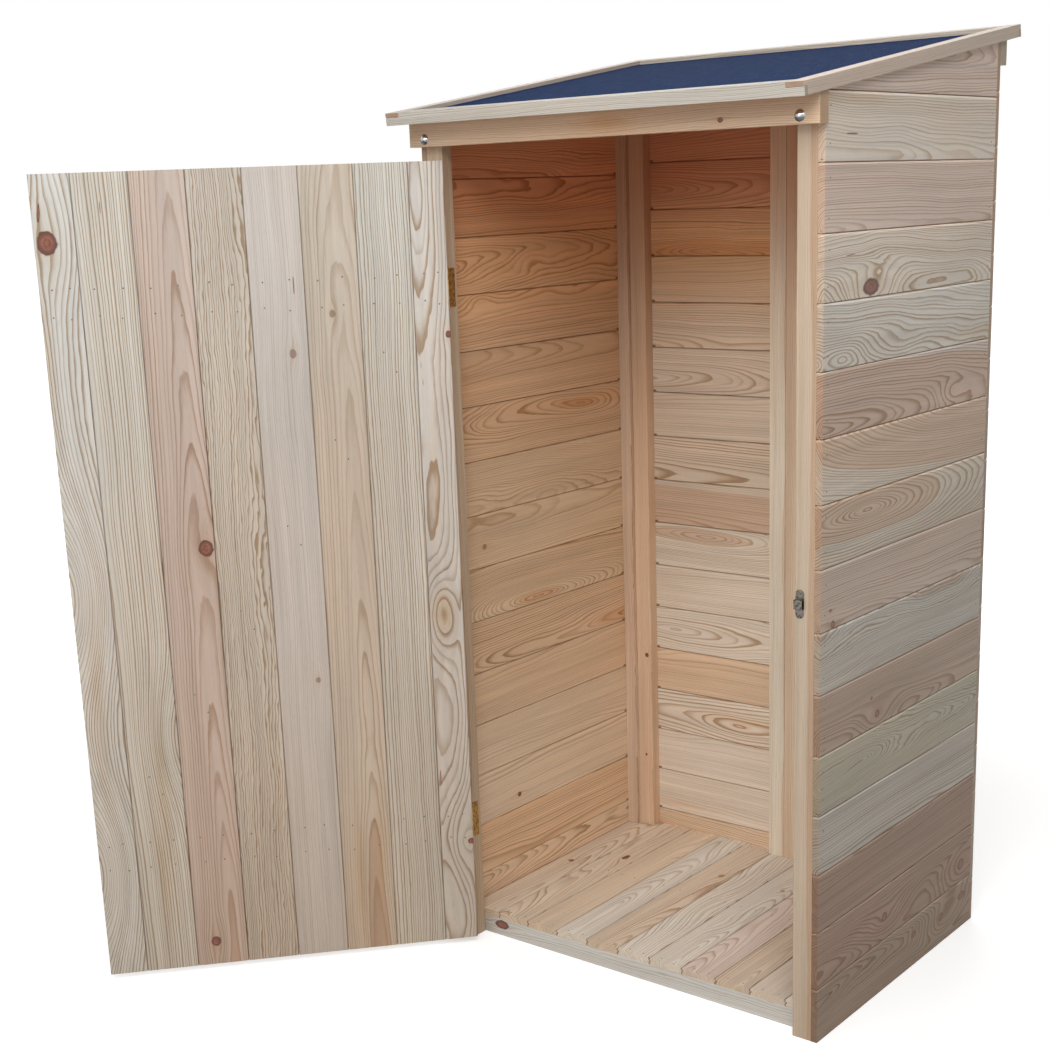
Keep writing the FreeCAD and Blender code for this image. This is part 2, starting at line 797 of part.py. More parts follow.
PLATE_FACE = "(hinge_standoff - latch_plate_thickness)"
PLATE_FAR = "(%s - bar_setback - strap_length / 2)" % DOOR_FAR
PLATE_LENGTH = "(2 * strap_inset + 2 * strap_length + 2 * knob_radius + 2 * knob_gap + bar_travel)"
PLATE_NEAR = "(%s - %s)" % (PLATE_FAR, PLATE_LENGTH)
PLATE_SCREW_RISE = "(latch_plate_height / 2 - plate_screw_edge)"
PLATE_SCREW_NEAR = "(%s + plate_screw_edge)" % PLATE_NEAR
PLATE_SCREW_FAR = "(%s - plate_screw_edge)" % PLATE_FAR
BAR_BACK = "(%s - bar_clearance)" % PLATE_FACE
BAR_FRONT = "(%s - bar_thickness)" % BAR_BACK
STRAP_HALF = "(bar_height / 2 + bar_clearance)"
STRAP_FRONT = "(%s - bar_clearance)" % BAR_FRONT


def strap_section(outer, back):
    """Section of a bridge over the bar, square to it."""
    wide = "(%s + strap_wall)" % STRAP_HALF
    return [
        ("latch_height - " + wide, back),
        ("latch_height - " + wide, outer + " - strap_wall"),
        ("latch_height + " + wide, outer + " - strap_wall"),
        ("latch_height + " + wide, back),
        ("latch_height + " + STRAP_HALF, back),
        ("latch_height + " + STRAP_HALF, outer),
        ("latch_height - " + STRAP_HALF, outer),
        ("latch_height - " + STRAP_HALF, back),
    ]


def add_strap(body, low, outer, back):
    sketch = new_sketch(body, "YZ", low)
    add_outline(sketch, [(along, across) for across, along in strap_section(outer, back)])
    return pad(body, sketch, "YZ", "strap_length")


def add_countersinks(body, level, places):
    seats = new_sketch(body, "XZ", level)
    for across, height in places:
        add_screw_seat(seats, across, height)
    cut_depth(body, seats, "latch_plate_thickness", reverse=False, taper=-COUNTERSINK)


def build_slide_bolt():
    half = "latch_plate_height / 2"
    outline = rectangle(PLATE_NEAR, PLATE_FAR, "latch_height - " + half, "latch_height + " + half)
    plate = prism("bolt_plate", "XZ", PLATE_FACE, outline, "latch_plate_thickness")
    for low in (PLATE_NEAR + " + strap_inset", PLATE_FAR + " - strap_inset - strap_length"):
        add_strap(plate, low, STRAP_FRONT, PLATE_FACE)
    places = [
        (across, "latch_height %s %s" % (sign, PLATE_SCREW_RISE))
        for across in (PLATE_SCREW_NEAR, PLATE_SCREW_FAR)
        for sign in "-+"
    ]
    add_countersinks(plate, PLATE_FACE, places)
    hang_on_hinge(plate)

    tip = "(%s - bar_setback)" % DOOR_FAR
    tail = "(%s + strap_inset - bar_travel)" % PLATE_NEAR
    bevel = "(bar_thickness / 2)"
    bar = prism("bolt_bar", "XY", "latch_height - bar_height / 2", [
        (tail, BAR_FRONT), (tip, BAR_FRONT), (tip, "%s - %s" % (BAR_BACK, bevel)),
        ("%s - %s" % (tip, bevel), BAR_BACK), (tail, BAR_BACK),
    ], "bar_height")
    hang_on_hinge(bar)

    knob = body_named("bolt_knob")
    knob_across = "(%s + strap_inset + strap_length + knob_gap + knob_radius)" % PLATE_NEAR
    stem = new_sketch(knob, "XZ", "%s - knob_height / 2" % BAR_FRONT)
    add_circle(stem, knob_across, "latch_height", "knob_radius / 2")
    pad(knob, stem, "XZ", "knob_height / 2")
    cap = new_sketch(knob, "XZ", "%s - knob_height" % BAR_FRONT)
    add_circle(cap, knob_across, "latch_height", "knob_radius")
    pad(knob, cap, "XZ", "knob_height / 2")
    hang_on_hinge(knob)


def build_keeper():
    """A plate with rounded ends and a raised bridge, which takes the end of the bar."""
    low = "(%s + keeper_edge)" % REVEAL
    high = "(%s + keeper_width)" % low
    middle = "(%s + keeper_width / 2)" % low
    plate_face = "(%s - latch_plate_thickness)" % FRONT
    reach = "(keeper_height / 2 - keeper_width / 2)"
    body = prism(
        "bolt_keeper", "XZ", plate_face,
        rectangle(low, high, "latch_height - " + reach, "latch_height + " + reach), "latch_plate_thickness",
    )
    for sign in "-+":
        end = new_sketch(body, "XZ", plate_face)
        add_circle(end, middle, "latch_height %s %s" % (sign, reach), "keeper_width / 2")
        pad(body, end, "XZ", "latch_plate_thickness")
    bar_front = "(%s - hinge_standoff + %s - bar_clearance)" % (FRONT, BAR_FRONT)
    sketch = new_sketch(body, "YZ", low)
    add_outline(sketch, [(along, across) for across, along in strap_section(bar_front, plate_face)])
    pad(body, sketch, "YZ", "keeper_width")
    add_countersinks(body, plate_face, [(middle, "latch_height %s %s" % (sign, reach)) for sign in "-+"])


# Roof, drawn level in the frame of its own lower face: X across, Y up the slope


ROOF_LOW = "(-overhang_front + strip_leg)"
ROOF_HIGH = "(%s + overhang_back - strip_leg)" % SLOPE_LENGTH
EDGE_FRONT = "(-overhang_front)"
EDGE_BACK = "(%s + overhang_back)" % SLOPE_LENGTH
EDGE_SIDE = "(cabinet_width / 2 + strip_leg)"
FELT_TOP = "(deck_thickness + felt_thickness)"
STRIP_TOP = "(deck_thickness + felt_thickness + strip_lip_thickness)"


def lay_on_slope(body):
    move(body, "0", FRONT, "roof_front_height", VECTOR(1, 0, 0), "atan(roof_rise / cabinet_depth)")


def strip_section(outer, sign):
    """The L section of an edge strip: a leg outside the deck and a lip over the felt."""
    leg = "%s %s strip_leg" % (outer, sign)
    lip = "%s %s strip_lip" % (outer, sign)
    return [
        (outer, "-strip_drop"), (outer, STRIP_TOP), (lip, STRIP_TOP),
        (lip, FELT_TOP), (leg, FELT_TOP), (leg, "-strip_drop"),
    ]


def build_roof():
    deck = body_named("roof_deck_boards")
    sketch = new_sketch(deck, "XZ", ROOF_LOW)
    start = "(%s)" % LEFT
    add_outline(sketch, board_outline(start, start + " + deck_board_cover", "0", "deck_thickness"))
    board = pad(deck, sketch, "XZ", "%s - %s" % (ROOF_HIGH, ROOF_LOW))
    repeat(deck, [board], "X", "deck_board_cover", "ceil(cabinet_width / deck_board_cover)")
    trim = new_sketch(deck, "XZ", ROOF_LOW)
    add_outline(trim, rectangle(RIGHT, RIGHT + " + 2 * deck_board_cover", "-deck_thickness", "2 * deck_thickness"))
    cut_through(deck, trim)
    lay_on_slope(deck)

    outline = rectangle(LEFT, RIGHT, ROOF_LOW, ROOF_HIGH)
    lay_on_slope(prism("roof_felt", "XY", "deck_thickness", outline, "felt_thickness"))

    # The front and back strips are notched at both ends for the lips of the side strips
    for place, outer, sign in (("front", EDGE_FRONT, "+"), ("back", EDGE_BACK, "-")):
        strip = prism(
            "roof_strip_" + place, "YZ", "(-%s)" % EDGE_SIDE, strip_section(outer, sign), "2 * " + EDGE_SIDE
        )
        notches = new_sketch(strip, "XZ")
        notch = "(%s - strip_lip - lap_gap)" % EDGE_SIDE
        beyond = "(%s + strip_lip)" % EDGE_SIDE
        for near, far in (("(-%s)" % beyond, "(-%s)" % notch), (notch, beyond)):
            add_outline(notches, rectangle(near, far, "%s - lap_gap" % FELT_TOP, "2 * " + STRIP_TOP))
        cut_through(strip, notches)
        lay_on_slope(strip)

    # The side strips run the whole slope, their legs stopping behind the other two strips' legs
    for place, outer, sign in (("left", "(-%s)" % EDGE_SIDE, "+"), ("right", EDGE_SIDE, "-")):
        length = "%s - %s" % (EDGE_BACK, EDGE_FRONT)
        strip = prism("roof_strip_" + place, "XZ", EDGE_FRONT, strip_section(outer, sign), length)
        stops = new_sketch(strip, "YZ")
        for near, far in (
            ("2 * " + EDGE_FRONT, EDGE_FRONT + " + strip_leg"),
            (EDGE_BACK + " - strip_leg", EDGE_BACK + " + strip_lip"),
        ):
            add_outline(stops, rectangle(near, far, "-2 * strip_drop - strip_leg", FELT_TOP))
        cut_through(strip, stops)
        lay_on_slope(strip)


def check_and_write():
    doc.recompute()
    for item in doc.Objects:
        if "Invalid" in item.State or "Error" in item.State:
            raise RuntimeError("%s failed: %s" % (item.Label, item.State))
    for item in parts:
        if item.Shape.isNull() or not item.Shape.isValid() or not item.Shape.Solids:
            raise RuntimeError("%s has no valid solid" % item.Label)
    os.makedirs("parts", exist_ok=True)
    for item in parts:
        item.Shape.exportStep("parts/%s.step" % item.Label)
    print("%d nodes, %d solids" % (len(parts), sum(len(item.Shape.Solids) for item in parts)))


build_walls()
build_frame()
build_lintel_bolts()
build_floor()
build_door_boards()
build_door_back()
build_hinges()
build_screws()
build_slide_bolt()
build_keeper()
build_roof()
check_and_write()
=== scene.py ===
"""Looks of the garden storage cabinet: materials, nail heads, camera and light."""
import math

import bpy
import bmesh
from mathutils import Matrix, Vector


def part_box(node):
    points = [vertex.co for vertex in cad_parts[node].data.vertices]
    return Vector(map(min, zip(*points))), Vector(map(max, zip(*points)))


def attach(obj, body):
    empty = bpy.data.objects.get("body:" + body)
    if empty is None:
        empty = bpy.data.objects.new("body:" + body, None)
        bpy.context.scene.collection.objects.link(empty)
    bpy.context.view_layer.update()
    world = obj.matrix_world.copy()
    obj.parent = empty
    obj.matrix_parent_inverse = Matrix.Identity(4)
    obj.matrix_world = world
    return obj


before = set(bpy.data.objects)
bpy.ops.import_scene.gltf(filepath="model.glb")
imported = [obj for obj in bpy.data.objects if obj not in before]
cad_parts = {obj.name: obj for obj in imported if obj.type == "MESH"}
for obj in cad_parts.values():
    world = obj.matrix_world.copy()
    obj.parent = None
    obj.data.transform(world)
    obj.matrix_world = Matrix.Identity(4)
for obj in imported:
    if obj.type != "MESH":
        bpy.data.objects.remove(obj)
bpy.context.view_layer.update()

MM = 0.001

# Places on the cabinet that the looks follow, in metres
HALF_WIDTH = 0.45
HALF_DEPTH = 0.345
WALL = 0.013
SIDE_COVER = 0.116
SIDE_START = -0.006
BACK_COVER = 0.1032
BACK_START = -0.0092
HINGE = Vector((-0.395, -0.349, 0.0))
DOOR_ANGLE = math.radians(-131.5)
DOOR_TURN = Matrix.Rotation(DOOR_ANGLE, 3, "Z")
DOOR_INNER = 0.032
DOOR_OUTER = 0.004
LEDGE_INNER = 0.018
LEDGE_MIDDLE = 0.011
DOOR_MIDDLE = 0.84
ROOF_RISE = 0.104
ROOF_SLOPE = math.atan2(ROOF_RISE, 2.0 * HALF_DEPTH)

# Shades of planed pine, light falling on them at full strength
TONES = {
    "milk": (0.61, 0.59, 0.55),
    "white": (0.59, 0.545, 0.49),
    "ivory": (0.585, 0.555, 0.495),
    "cream": (0.61, 0.545, 0.46),
    "oat": (0.555, 0.495, 0.42),
    "pearl": (0.555, 0.5, 0.45),
    "straw": (0.55, 0.465, 0.375),
    "tan": (0.56, 0.45, 0.34),
    "pink": (0.57, 0.465, 0.39),
    "rose": (0.53, 0.425, 0.36),
    "grey": (0.53, 0.5, 0.45),
    "green": (0.5, 0.475, 0.39),
    "brown": (0.46, 0.36, 0.29),
    "umber": (0.37, 0.265, 0.205),
    "moss": (0.375, 0.29, 0.225),
    "amber": (0.575, 0.435, 0.305),
    "honey": (0.58, 0.46, 0.335),
    "orange": (0.56, 0.4, 0.26),
}
LATE_WOOD = (0.6, 0.47, 0.35, 1.0)
KNOT_DARK = (0.055, 0.02, 0.014, 1.0)
KNOT_RED = (0.33, 0.13, 0.085, 1.0)
HALO_TINT = (0.88, 0.7, 0.5, 1.0)
# Marks in the grain: solid share, halo share, bend of the grain, lift of the grain and length factor
MARKS = {
    "knot": (1.0, 0.45, 0.8, 0.3, 0.85),
    "long": (1.0, 0.4, 0.8, 0.35, 0.5),
    "faint": (0.55, 0.5, 0.7, 0.5, 0.8),
    "swirl": (0.0, 0.08, 0.45, 1.0, 0.9),
    "streak": (0.0, 0.6, 0.0, 0.0, 0.16),
    "blush": (0.0, 1.0, 0.2, 0.5, 0.6),
    "eye": (0.04, 1.0, 0.6, 0.5, 0.55),
    "whorl": (0.0, 0.1, 0.3, 2.6, 0.8),
    "crack": (0.9, 0.3, 0.0, 0.0, 0.07),
}
END_TINT = (0.86, 0.79, 0.71, 1.0)
HEART_TINT = (0.9, 0.76, 0.67, 1.0)
# Tint for grime at joints and board ends, also painted shade under the wall boards' lower edges and in their
# gaping joints
GRIME_AND_SHADE_TINT = (0.42, 0.29, 0.21, 1.0)
WARM_TINT = (1.0, 0.86, 0.76, 1.0)
# Painted highlight on the upper chamfered edge of each outer wall board
CHAMFER_HIGHLIGHT_TINT = (1.48, 1.5, 1.52, 1.0)


class Net:
    """Writes shader nodes into a tree, one call for each node."""

    def __init__(self, tree):
        self.tree = tree

    def node(self, kind, **settings):
        item = self.tree.nodes.new(kind)
        for name, value in settings.items():
            setattr(item, name, value)
        return item

    def put(self, socket, value):
        if isinstance(value, bpy.types.NodeSocket):
            self.tree.links.new(value, socket)
        else:
            socket.default_value = value

    def fill(self, item, values):
        """Gives a node's inputs their values or links, by name."""
        for title, value in values.items():
            self.put(item.inputs[title], value)

    def math(self, operation, first, second=0.0, third=0.0, clamp=False):
        item = self.node("ShaderNodeMath", operation=operation, use_clamp=clamp)
        for socket, value in zip(item.inputs, (first, second, third)):
            self.put(socket, value)
        return item.outputs[0]

    def add(self, first, second):
        return self.math("ADD", first, second)

    def sub(self, first, second):
        return self.math("SUBTRACT", first, second)

    def mul(self, first, *others):
        for other in others:
            first = self.math("MULTIPLY", first, other)
        return first

    def total(self, start, *terms):
        """A start value with terms added to it, each a value and its weight."""
        for value, weight in terms:
            start = self.add(start, self.mul(value, weight))
        return start

    def length(self, first, second):
        """The length of two steps at right angles."""
        return self.math("SQRT", self.add(self.mul(first, first), self.mul(second, second)))

    def ease(self, value, low, high, out_low=0.0, out_high=1.0):
        """A smooth step of value from low to high."""
        item = self.node("ShaderNodeMapRange", interpolation_type="SMOOTHSTEP")
        ends = {"From Min": low, "From Max": high, "To Min": out_low, "To Max": out_high}
        self.fill(item, {**ends, "Value": value})
        return item.outputs["Result"]

    def join(self, x, y, z):
        item = self.node("ShaderNodeCombineXYZ")
        for socket, value in zip(item.inputs, (x, y, z)):
            self.put(socket, value)
        return item.outputs[0]

    def split(self, vector):
        item = self.node("ShaderNodeSeparateXYZ")
        self.put(item.inputs[0], vector)
        return item.outputs[0], item.outputs[1], item.outputs[2]

    def spread(self, parts, scales, shift=0.0):
        """A place that is scaled apart along, across and through, and shifted along."""
        along, across, deep = [self.mul(part, scale) for part, scale in zip(parts, scales)]
        return self.join(self.add(along, shift), across, deep)

    def noise(self, vector, scale=1.0, detail=2.0, rough=0.5):
        """Cloudy noise about 0.5, and three of them as a colour."""
        item = self.node("ShaderNodeTexNoise", noise_dimensions="3D")
        self.fill(item, {"Vector": vector, "Scale": scale, "Detail": detail, "Roughness": rough})
        return item.outputs["Fac"], item.outputs["Color"]

    def chance(self, value):
        """One even random number for each whole number."""
        item = self.node("ShaderNodeTexWhiteNoise", noise_dimensions="1D")
        self.put(item.inputs["W"], value)
        return item.outputs["Value"]

    def tint(self, color, tint):
        """A colour with a tint laid over it."""
        return self.mix(1.0, color, tint, "MULTIPLY")

    def mix(self, share, first, second, blend="MIX"):
        item = self.node("ShaderNodeMix", data_type="RGBA", blend_type=blend)
        self.put(item.inputs["Factor"], share)
        self.put(item.inputs[6], first)
        self.put(item.inputs[7], second)
        return item.outputs[2]

    def table(self, index, rows):
        """The row of a table for a whole number, as a colour."""
        item = self.node("ShaderNodeValToRGB")
        ramp = item.color_ramp
        ramp.interpolation = "CONSTANT"
        ramp.elements.remove(ramp.elements[-1])
        ramp.elements[0].position = 0.0
        ramp.elements[0].color = (*rows[0], 1.0)
        for number in range(1, len(rows)):
            ramp.elements.new(number / len(rows)).color = (*rows[number], 1.0)
        self.put(item.inputs[0], self.mul(self.add(index, 0.5), 1.0 / len(rows)))
        return item.outputs["Color"]


def group_tree(name, inputs, outputs):
    """An empty node group: its inputs with what they are by default, and its outputs with their kinds."""
    tree = bpy.data.node_groups.new(name, "ShaderNodeTree")
    kinds = {float: "Float", tuple: "Color", type(None): "Vector"}
    for title, value in inputs.items():
        kind = "NodeSocket" + kinds[type(value)]
        socket = tree.interface.new_socket(title, in_out="INPUT", socket_type=kind)
        if value is not None:
            socket.default_value = value
    for title, kind in outputs.items():
        tree.interface.new_socket(title, in_out="OUTPUT", socket_type="NodeSocket" + kind)
    net = Net(tree)
    start = net.node("NodeGroupInput")
    end = net.node("NodeGroupOutput")
    return tree, net, start.outputs, end.inputs


# A knot's outline, rings and the reach of its pull and halo, all as shares of its radius
RAG_SCALE = 70.0
RAG_LEAST = 0.75
RAG_SPREAD = 0.5
PULL_LENGTH = 0.5
PULL_FALL = -0.17
HALO_FALL = -0.45
KNOT_RIM = (1.08, 0.86)
RING_RIM = (1.02, 0.55)
RING_COUNT = 17.0
RING_BASE = 0.62
RING_DEPTH = 0.13
RING_RAG = 0.9


def knot_tree():
    """A branch through the board: the grain bends round it, and it has its own rings and a dark rim."""
    tree, net, given, out = group_tree(
        "knot",
        {"Place": None, "Mask": 0.0, "Rings": 0.0, "Halo": 0.0, "Along": 0.0, "Across": 0.0, "Radius": 0.01,
         "Gate": 1.0, "Solid": 1.0, "Glow": 0.5, "Bend": 0.8, "Lift": 0.3, "Stretch": 0.85},
        {"Place": "Vector", "Mask": "Float", "Rings": "Float", "Halo": "Float"},
    )
    along, across, deep = net.split(given["Place"])
    step_along = net.sub(along, given["Along"])
    step_across = net.sub(across, given["Across"])
    rag_place = net.join(net.mul(step_along, RAG_SCALE), net.mul(step_across, RAG_SCALE), given["Along"])
    ragged = net.noise(rag_place)[0]
    near_step = net.mul(step_along, given["Stretch"])
    reach = net.math("DIVIDE", net.length(near_step, step_across), given["Radius"])
    reach = net.mul(reach, net.add(RAG_LEAST, net.mul(ragged, RAG_SPREAD)))
    far = net.length(net.mul(near_step, PULL_LENGTH), step_across)
    far = net.math("DIVIDE", far, given["Radius"])
    far = net.mul(far, far)
    pull = net.mul(net.math("EXPONENT", net.mul(far, PULL_FALL)), given["Gate"])
    moved = net.sub(across, net.mul(step_across, pull, given["Bend"]))
    lifted = net.add(deep, net.mul(pull, given["Lift"], given["Radius"]))
    net.put(out["Place"], net.join(along, moved, lifted))
    mask = net.mul(net.ease(reach, *KNOT_RIM), given["Gate"], given["Solid"])
    net.put(out["Mask"], net.math("MAXIMUM", given["Mask"], mask))
    rings = net.total(RING_BASE, (net.math("SINE", net.mul(reach, RING_COUNT)), RING_DEPTH),
                      (net.sub(ragged, 0.5), RING_RAG))
    rings = net.mul(rings, net.ease(reach, *RING_RIM))
    net.put(out["Rings"], net.math("MAXIMUM", given["Rings"], net.mul(rings, mask)))
    halo = net.mul(net.math("EXPONENT", net.mul(far, HALO_FALL)), given["Gate"], given["Glow"])
    net.put(out["Halo"], net.math("MAXIMUM", given["Halo"], halo))
    return tree


# How fine the wood's patterns are along, across and through a board, per metre
BENDS = (2.1, 7.0, 7.0)
TREMORS = (26.0, 110.0, 60.0)
FIBRES = (14.0, 900.0, 900.0)
STREAKS = (1.6, 60.0, 60.0)
PORES = (55.0, 1300.0, 1300.0)
PORE_EDGE = (0.69, 0.8)
# How far slow bends and small tremors move the rings, in metres
BEND_ACROSS = 0.05
BEND_DEEP = 0.06
TREMOR_REACH = 0.0016
# Each seed's step in the noise and among the random years
SEED_STEP = 7.31
SEED_YEARS = 17.0
# Uneven years, and where in a year the late wood rises and falls
DRIFT = 0.31
DRIFT_REACH = 2.6
LATE_RISE = (0.2, 0.9)
LATE_FALL = (1.0, 0.92)
LATE_SHARP = 1.9
LATE_FLAT = 1.0
YEAR_LEAST = 0.45
YEAR_SPREAD = 0.75
HEART_EDGE = 0.003
HEART_SHARE = 0.9
HALO_SHARE = 0.8
WARM_START = 0.35
WARM_SHARE = 0.8
# How much each pattern changes the colour's lightness, the height and the roughness
STREAK_LIGHT = 0.42
FIBRE_LIGHT = 0.26
CLOUD_LIGHT = 0.3
PORE_LIGHT = -0.12
LATE_LIFT = 0.6
FIBRE_LIFT = 0.5
PORE_DIP = -0.35
KNOT_DIP = -0.25
JOINT_DIP = -0.6
ROUGHNESS = 0.6
FIBRE_ROUGH = 0.2
LATE_ROUGH = -0.07
KNOT_ROUGH = -0.14


def wood_tree():
    """Pine sawn from a log: rings about a pith that lies beside the board and climbs along it."""
    tree, net, given, out = group_tree(
        "wood",
        {"Place": None, "Seed": 0.0, "Pith Across": 0.0, "Pith Deep": -0.05, "Climb": 0.03, "Pitch": 0.0035,
         "Wave": 1.0, "Curl": 1.0, "Heart": 0.0, "Pale": (0.6, 0.5, 0.4, 1.0), "Contrast": 0.6, "Dirt": 0.0,
         "Mask": 0.0, "Rings": 0.0, "Halo": 0.0, "End": 0.0},
        {"Color": "Color", "Height": "Float", "Roughness": "Float"},
    )
    parts = net.split(given["Place"])
    along, across, deep = parts
    seed = given["Seed"]
    shift = net.mul(seed, SEED_STEP)
    place = net.join(net.add(net.mul(along, BENDS[0]), shift), net.add(net.mul(across, BENDS[1]), shift),
                     net.mul(deep, BENDS[2]))
    cloud_a, cloud_b, cloud_c = net.split(net.noise(place, rough=0.45)[1])
    bend_across = net.mul(net.sub(cloud_a, 0.5), BEND_ACROSS, given["Wave"])
    bend_deep = net.mul(net.sub(cloud_b, 0.5), BEND_DEEP, given["Wave"])
    off_across = net.add(net.sub(across, given["Pith Across"]), bend_across)
    off_deep = net.add(net.sub(deep, given["Pith Deep"]), bend_deep)
    off_deep = net.add(off_deep, net.mul(along, given["Climb"]))
    radius = net.length(off_across, off_deep)
    tremor = net.noise(net.spread(parts, TREMORS, shift), detail=1.0)[0]
    radius = net.add(radius, net.mul(net.sub(tremor, 0.5), TREMOR_REACH, given["Curl"]))
    rings = net.math("DIVIDE", radius, given["Pitch"])
    uneven = net.noise(net.join(net.mul(rings, DRIFT), shift, 0.0), detail=1.0)[0]
    rings = net.add(rings, net.mul(uneven, DRIFT_REACH))
    part = net.math("FRACT", rings)
    year = net.math("FLOOR", rings)
    late = net.mul(net.ease(part, *LATE_RISE), net.ease(part, *LATE_FALL))
    flat = net.sub(1.0, net.math("DIVIDE", net.math("ABSOLUTE", off_across), radius, clamp=True))
    late = net.math("POWER", late, net.total(LATE_SHARP, (flat, LATE_FLAT)))
    year_chance = net.chance(net.add(year, net.mul(seed, SEED_YEARS)))
    late = net.mul(late, net.total(YEAR_LEAST, (year_chance, YEAR_SPREAD)))

    fibre = net.noise(net.spread(parts, FIBRES, shift), rough=0.6)[0]
    streak = net.noise(net.spread(parts, STREAKS, shift), rough=0.55)[0]
    pore = net.ease(net.noise(net.spread(parts, PORES, shift), detail=0.0)[0], *PORE_EDGE)

    warm = net.mul(net.sub(cloud_c, WARM_START), WARM_SHARE)
    pale = net.mix(warm, given["Pale"], net.tint(given["Pale"], WARM_TINT))
    heart = net.math("DIVIDE", net.sub(given["Heart"], radius), HEART_EDGE, clamp=True)
    pale = net.mix(net.mul(heart, HEART_SHARE), pale, net.tint(pale, HEART_TINT))
    color = net.mix(net.mul(late, given["Contrast"]), pale, net.tint(pale, LATE_WOOD))
    light = net.total(1.0, (net.sub(streak, 0.5), STREAK_LIGHT), (net.sub(fibre, 0.5), FIBRE_LIGHT),
                      (net.sub(cloud_b, 0.5), CLOUD_LIGHT), (pore, PORE_LIGHT))
    color = net.tint(color, net.join(light, light, light))
    color = net.mix(net.mul(given["Halo"], HALO_SHARE), color, net.tint(color, HALO_TINT))
    color = net.mix(given["End"], color, net.tint(color, END_TINT))
    # Grime at joints and ends, with painted shade at the wall boards' joints
    color = net.mix(given["Dirt"], color, net.tint(color, GRIME_AND_SHADE_TINT))
    color = net.mix(given["Mask"], color, net.mix(given["Rings"], KNOT_DARK, KNOT_RED))
    net.put(out["Color"], color)
    net.put(out["Height"], net.total(0.0, (late, LATE_LIFT), (fibre, FIBRE_LIFT), (pore, PORE_DIP),
                                     (given["Mask"], KNOT_DIP), (given["Dirt"], JOINT_DIP)))
    net.put(out["Roughness"], net.total(ROUGHNESS, (net.sub(fibre, 0.5), FIBRE_ROUGH), (late, LATE_ROUGH),
                                        (given["Mask"], KNOT_ROUGH)))
    return tree


KNOT = knot_tree()
WOOD = wood_tree()


def new_material(name):
    """A material with an empty surface, its net and its Principled shader."""
    material = bpy.data.materials.new(name)
    material.use_nodes = True
    net = Net(material.node_tree)
    shader = material.node_tree.nodes["Principled BSDF"]
    return material, net, shader


def object_place(net):
    """Where a point is on the object, and which way its surface faces."""
    item = net.node("ShaderNodeTexCoord")
    return item.outputs["Object"], item.outputs["Normal"]


def new_object(name, data):
    """An object in the scene that shows its data."""
    item = bpy.data.objects.new(name, data)
    bpy.context.scene.collection.objects.link(item)
    return item


NOUGHT = Vector((0.0, 0.0, 0.0))


def turned(net, vector, centre, axis, angle):
    """A vector turned about a centre."""
    item = net.node("ShaderNodeVectorRotate", rotation_type=axis + "_AXIS")
    net.fill(item, {"Vector": vector, "Center": centre, "Angle": angle})
    return item.outputs[0]


def door_place(net):
    """The same from the door's hinge axis: across the door, through it, up."""
    place, normal = object_place(net)
    shift = net.node("ShaderNodeVectorMath", operation="SUBTRACT")
    net.put(shift.inputs[0], turned(net, place, HINGE, "Z", -DOOR_ANGLE))
    net.put(shift.inputs[1], HINGE)
    return shift.outputs[0], turned(net, normal, NOUGHT, "Z", -DOOR_ANGLE)


WOOD_GLOSS = 0.32
RELIEF = 0.0003
RELIEF_SHARE = 0.8
# How square to the board a surface is where it turns from side grain to end grain
END_EDGE = (0.75, 0.92)


def add_bump(net, shader, height, strength, distance):
    """Small relief on a surface."""
    bump = net.node("ShaderNodeBump")
    net.fill(bump, {"Strength": strength, "Distance": distance, "Height": height})
    net.put(shader.inputs["Normal"], bump.outputs["Normal"])


def wood_surface(net, shader, place, end, looks, knots=(), gates=None):
    """Links the wood to a Principled shader. looks gives the wood's own inputs, as numbers or sockets."""
    state = {"Place": place, "Mask": 0.0, "Rings": 0.0, "Halo": 0.0}
    for number, (along, across, radius, kind) in enumerate(knots):
        solid, glow, bend, lift, stretch = MARKS[kind]
        own = {"Along": along, "Across": across, "Radius": radius, "Gate": gates[number] if gates else 1.0,
               "Solid": solid, "Glow": glow, "Bend": bend, "Lift": lift, "Stretch": stretch}
        item = net.node("ShaderNodeGroup", node_tree=KNOT)
        net.fill(item, {**state, **own})
        state = {title: item.outputs[title] for title in state}
    along, across, deep = net.split(state["Place"])
    state["Place"] = net.join(along, net.sub(across, looks.pop("Centre", 0.0)), deep)
    item = net.node("ShaderNodeGroup", node_tree=WOOD)
    net.fill(item, {**state, "End": end, **looks})
    net.fill(shader, {"Base Color": item.outputs["Color"], "Roughness": item.outputs["Roughness"],
                      "Specular IOR Level": WOOD_GLOSS})
    add_bump(net, shader, item.outputs["Height"], RELIEF_SHARE, RELIEF)


def end_share(net, facing):
    """How much a surface shows end grain, from its normal along the board."""
    return net.ease(net.math("ABSOLUTE", facing), *END_EDGE)


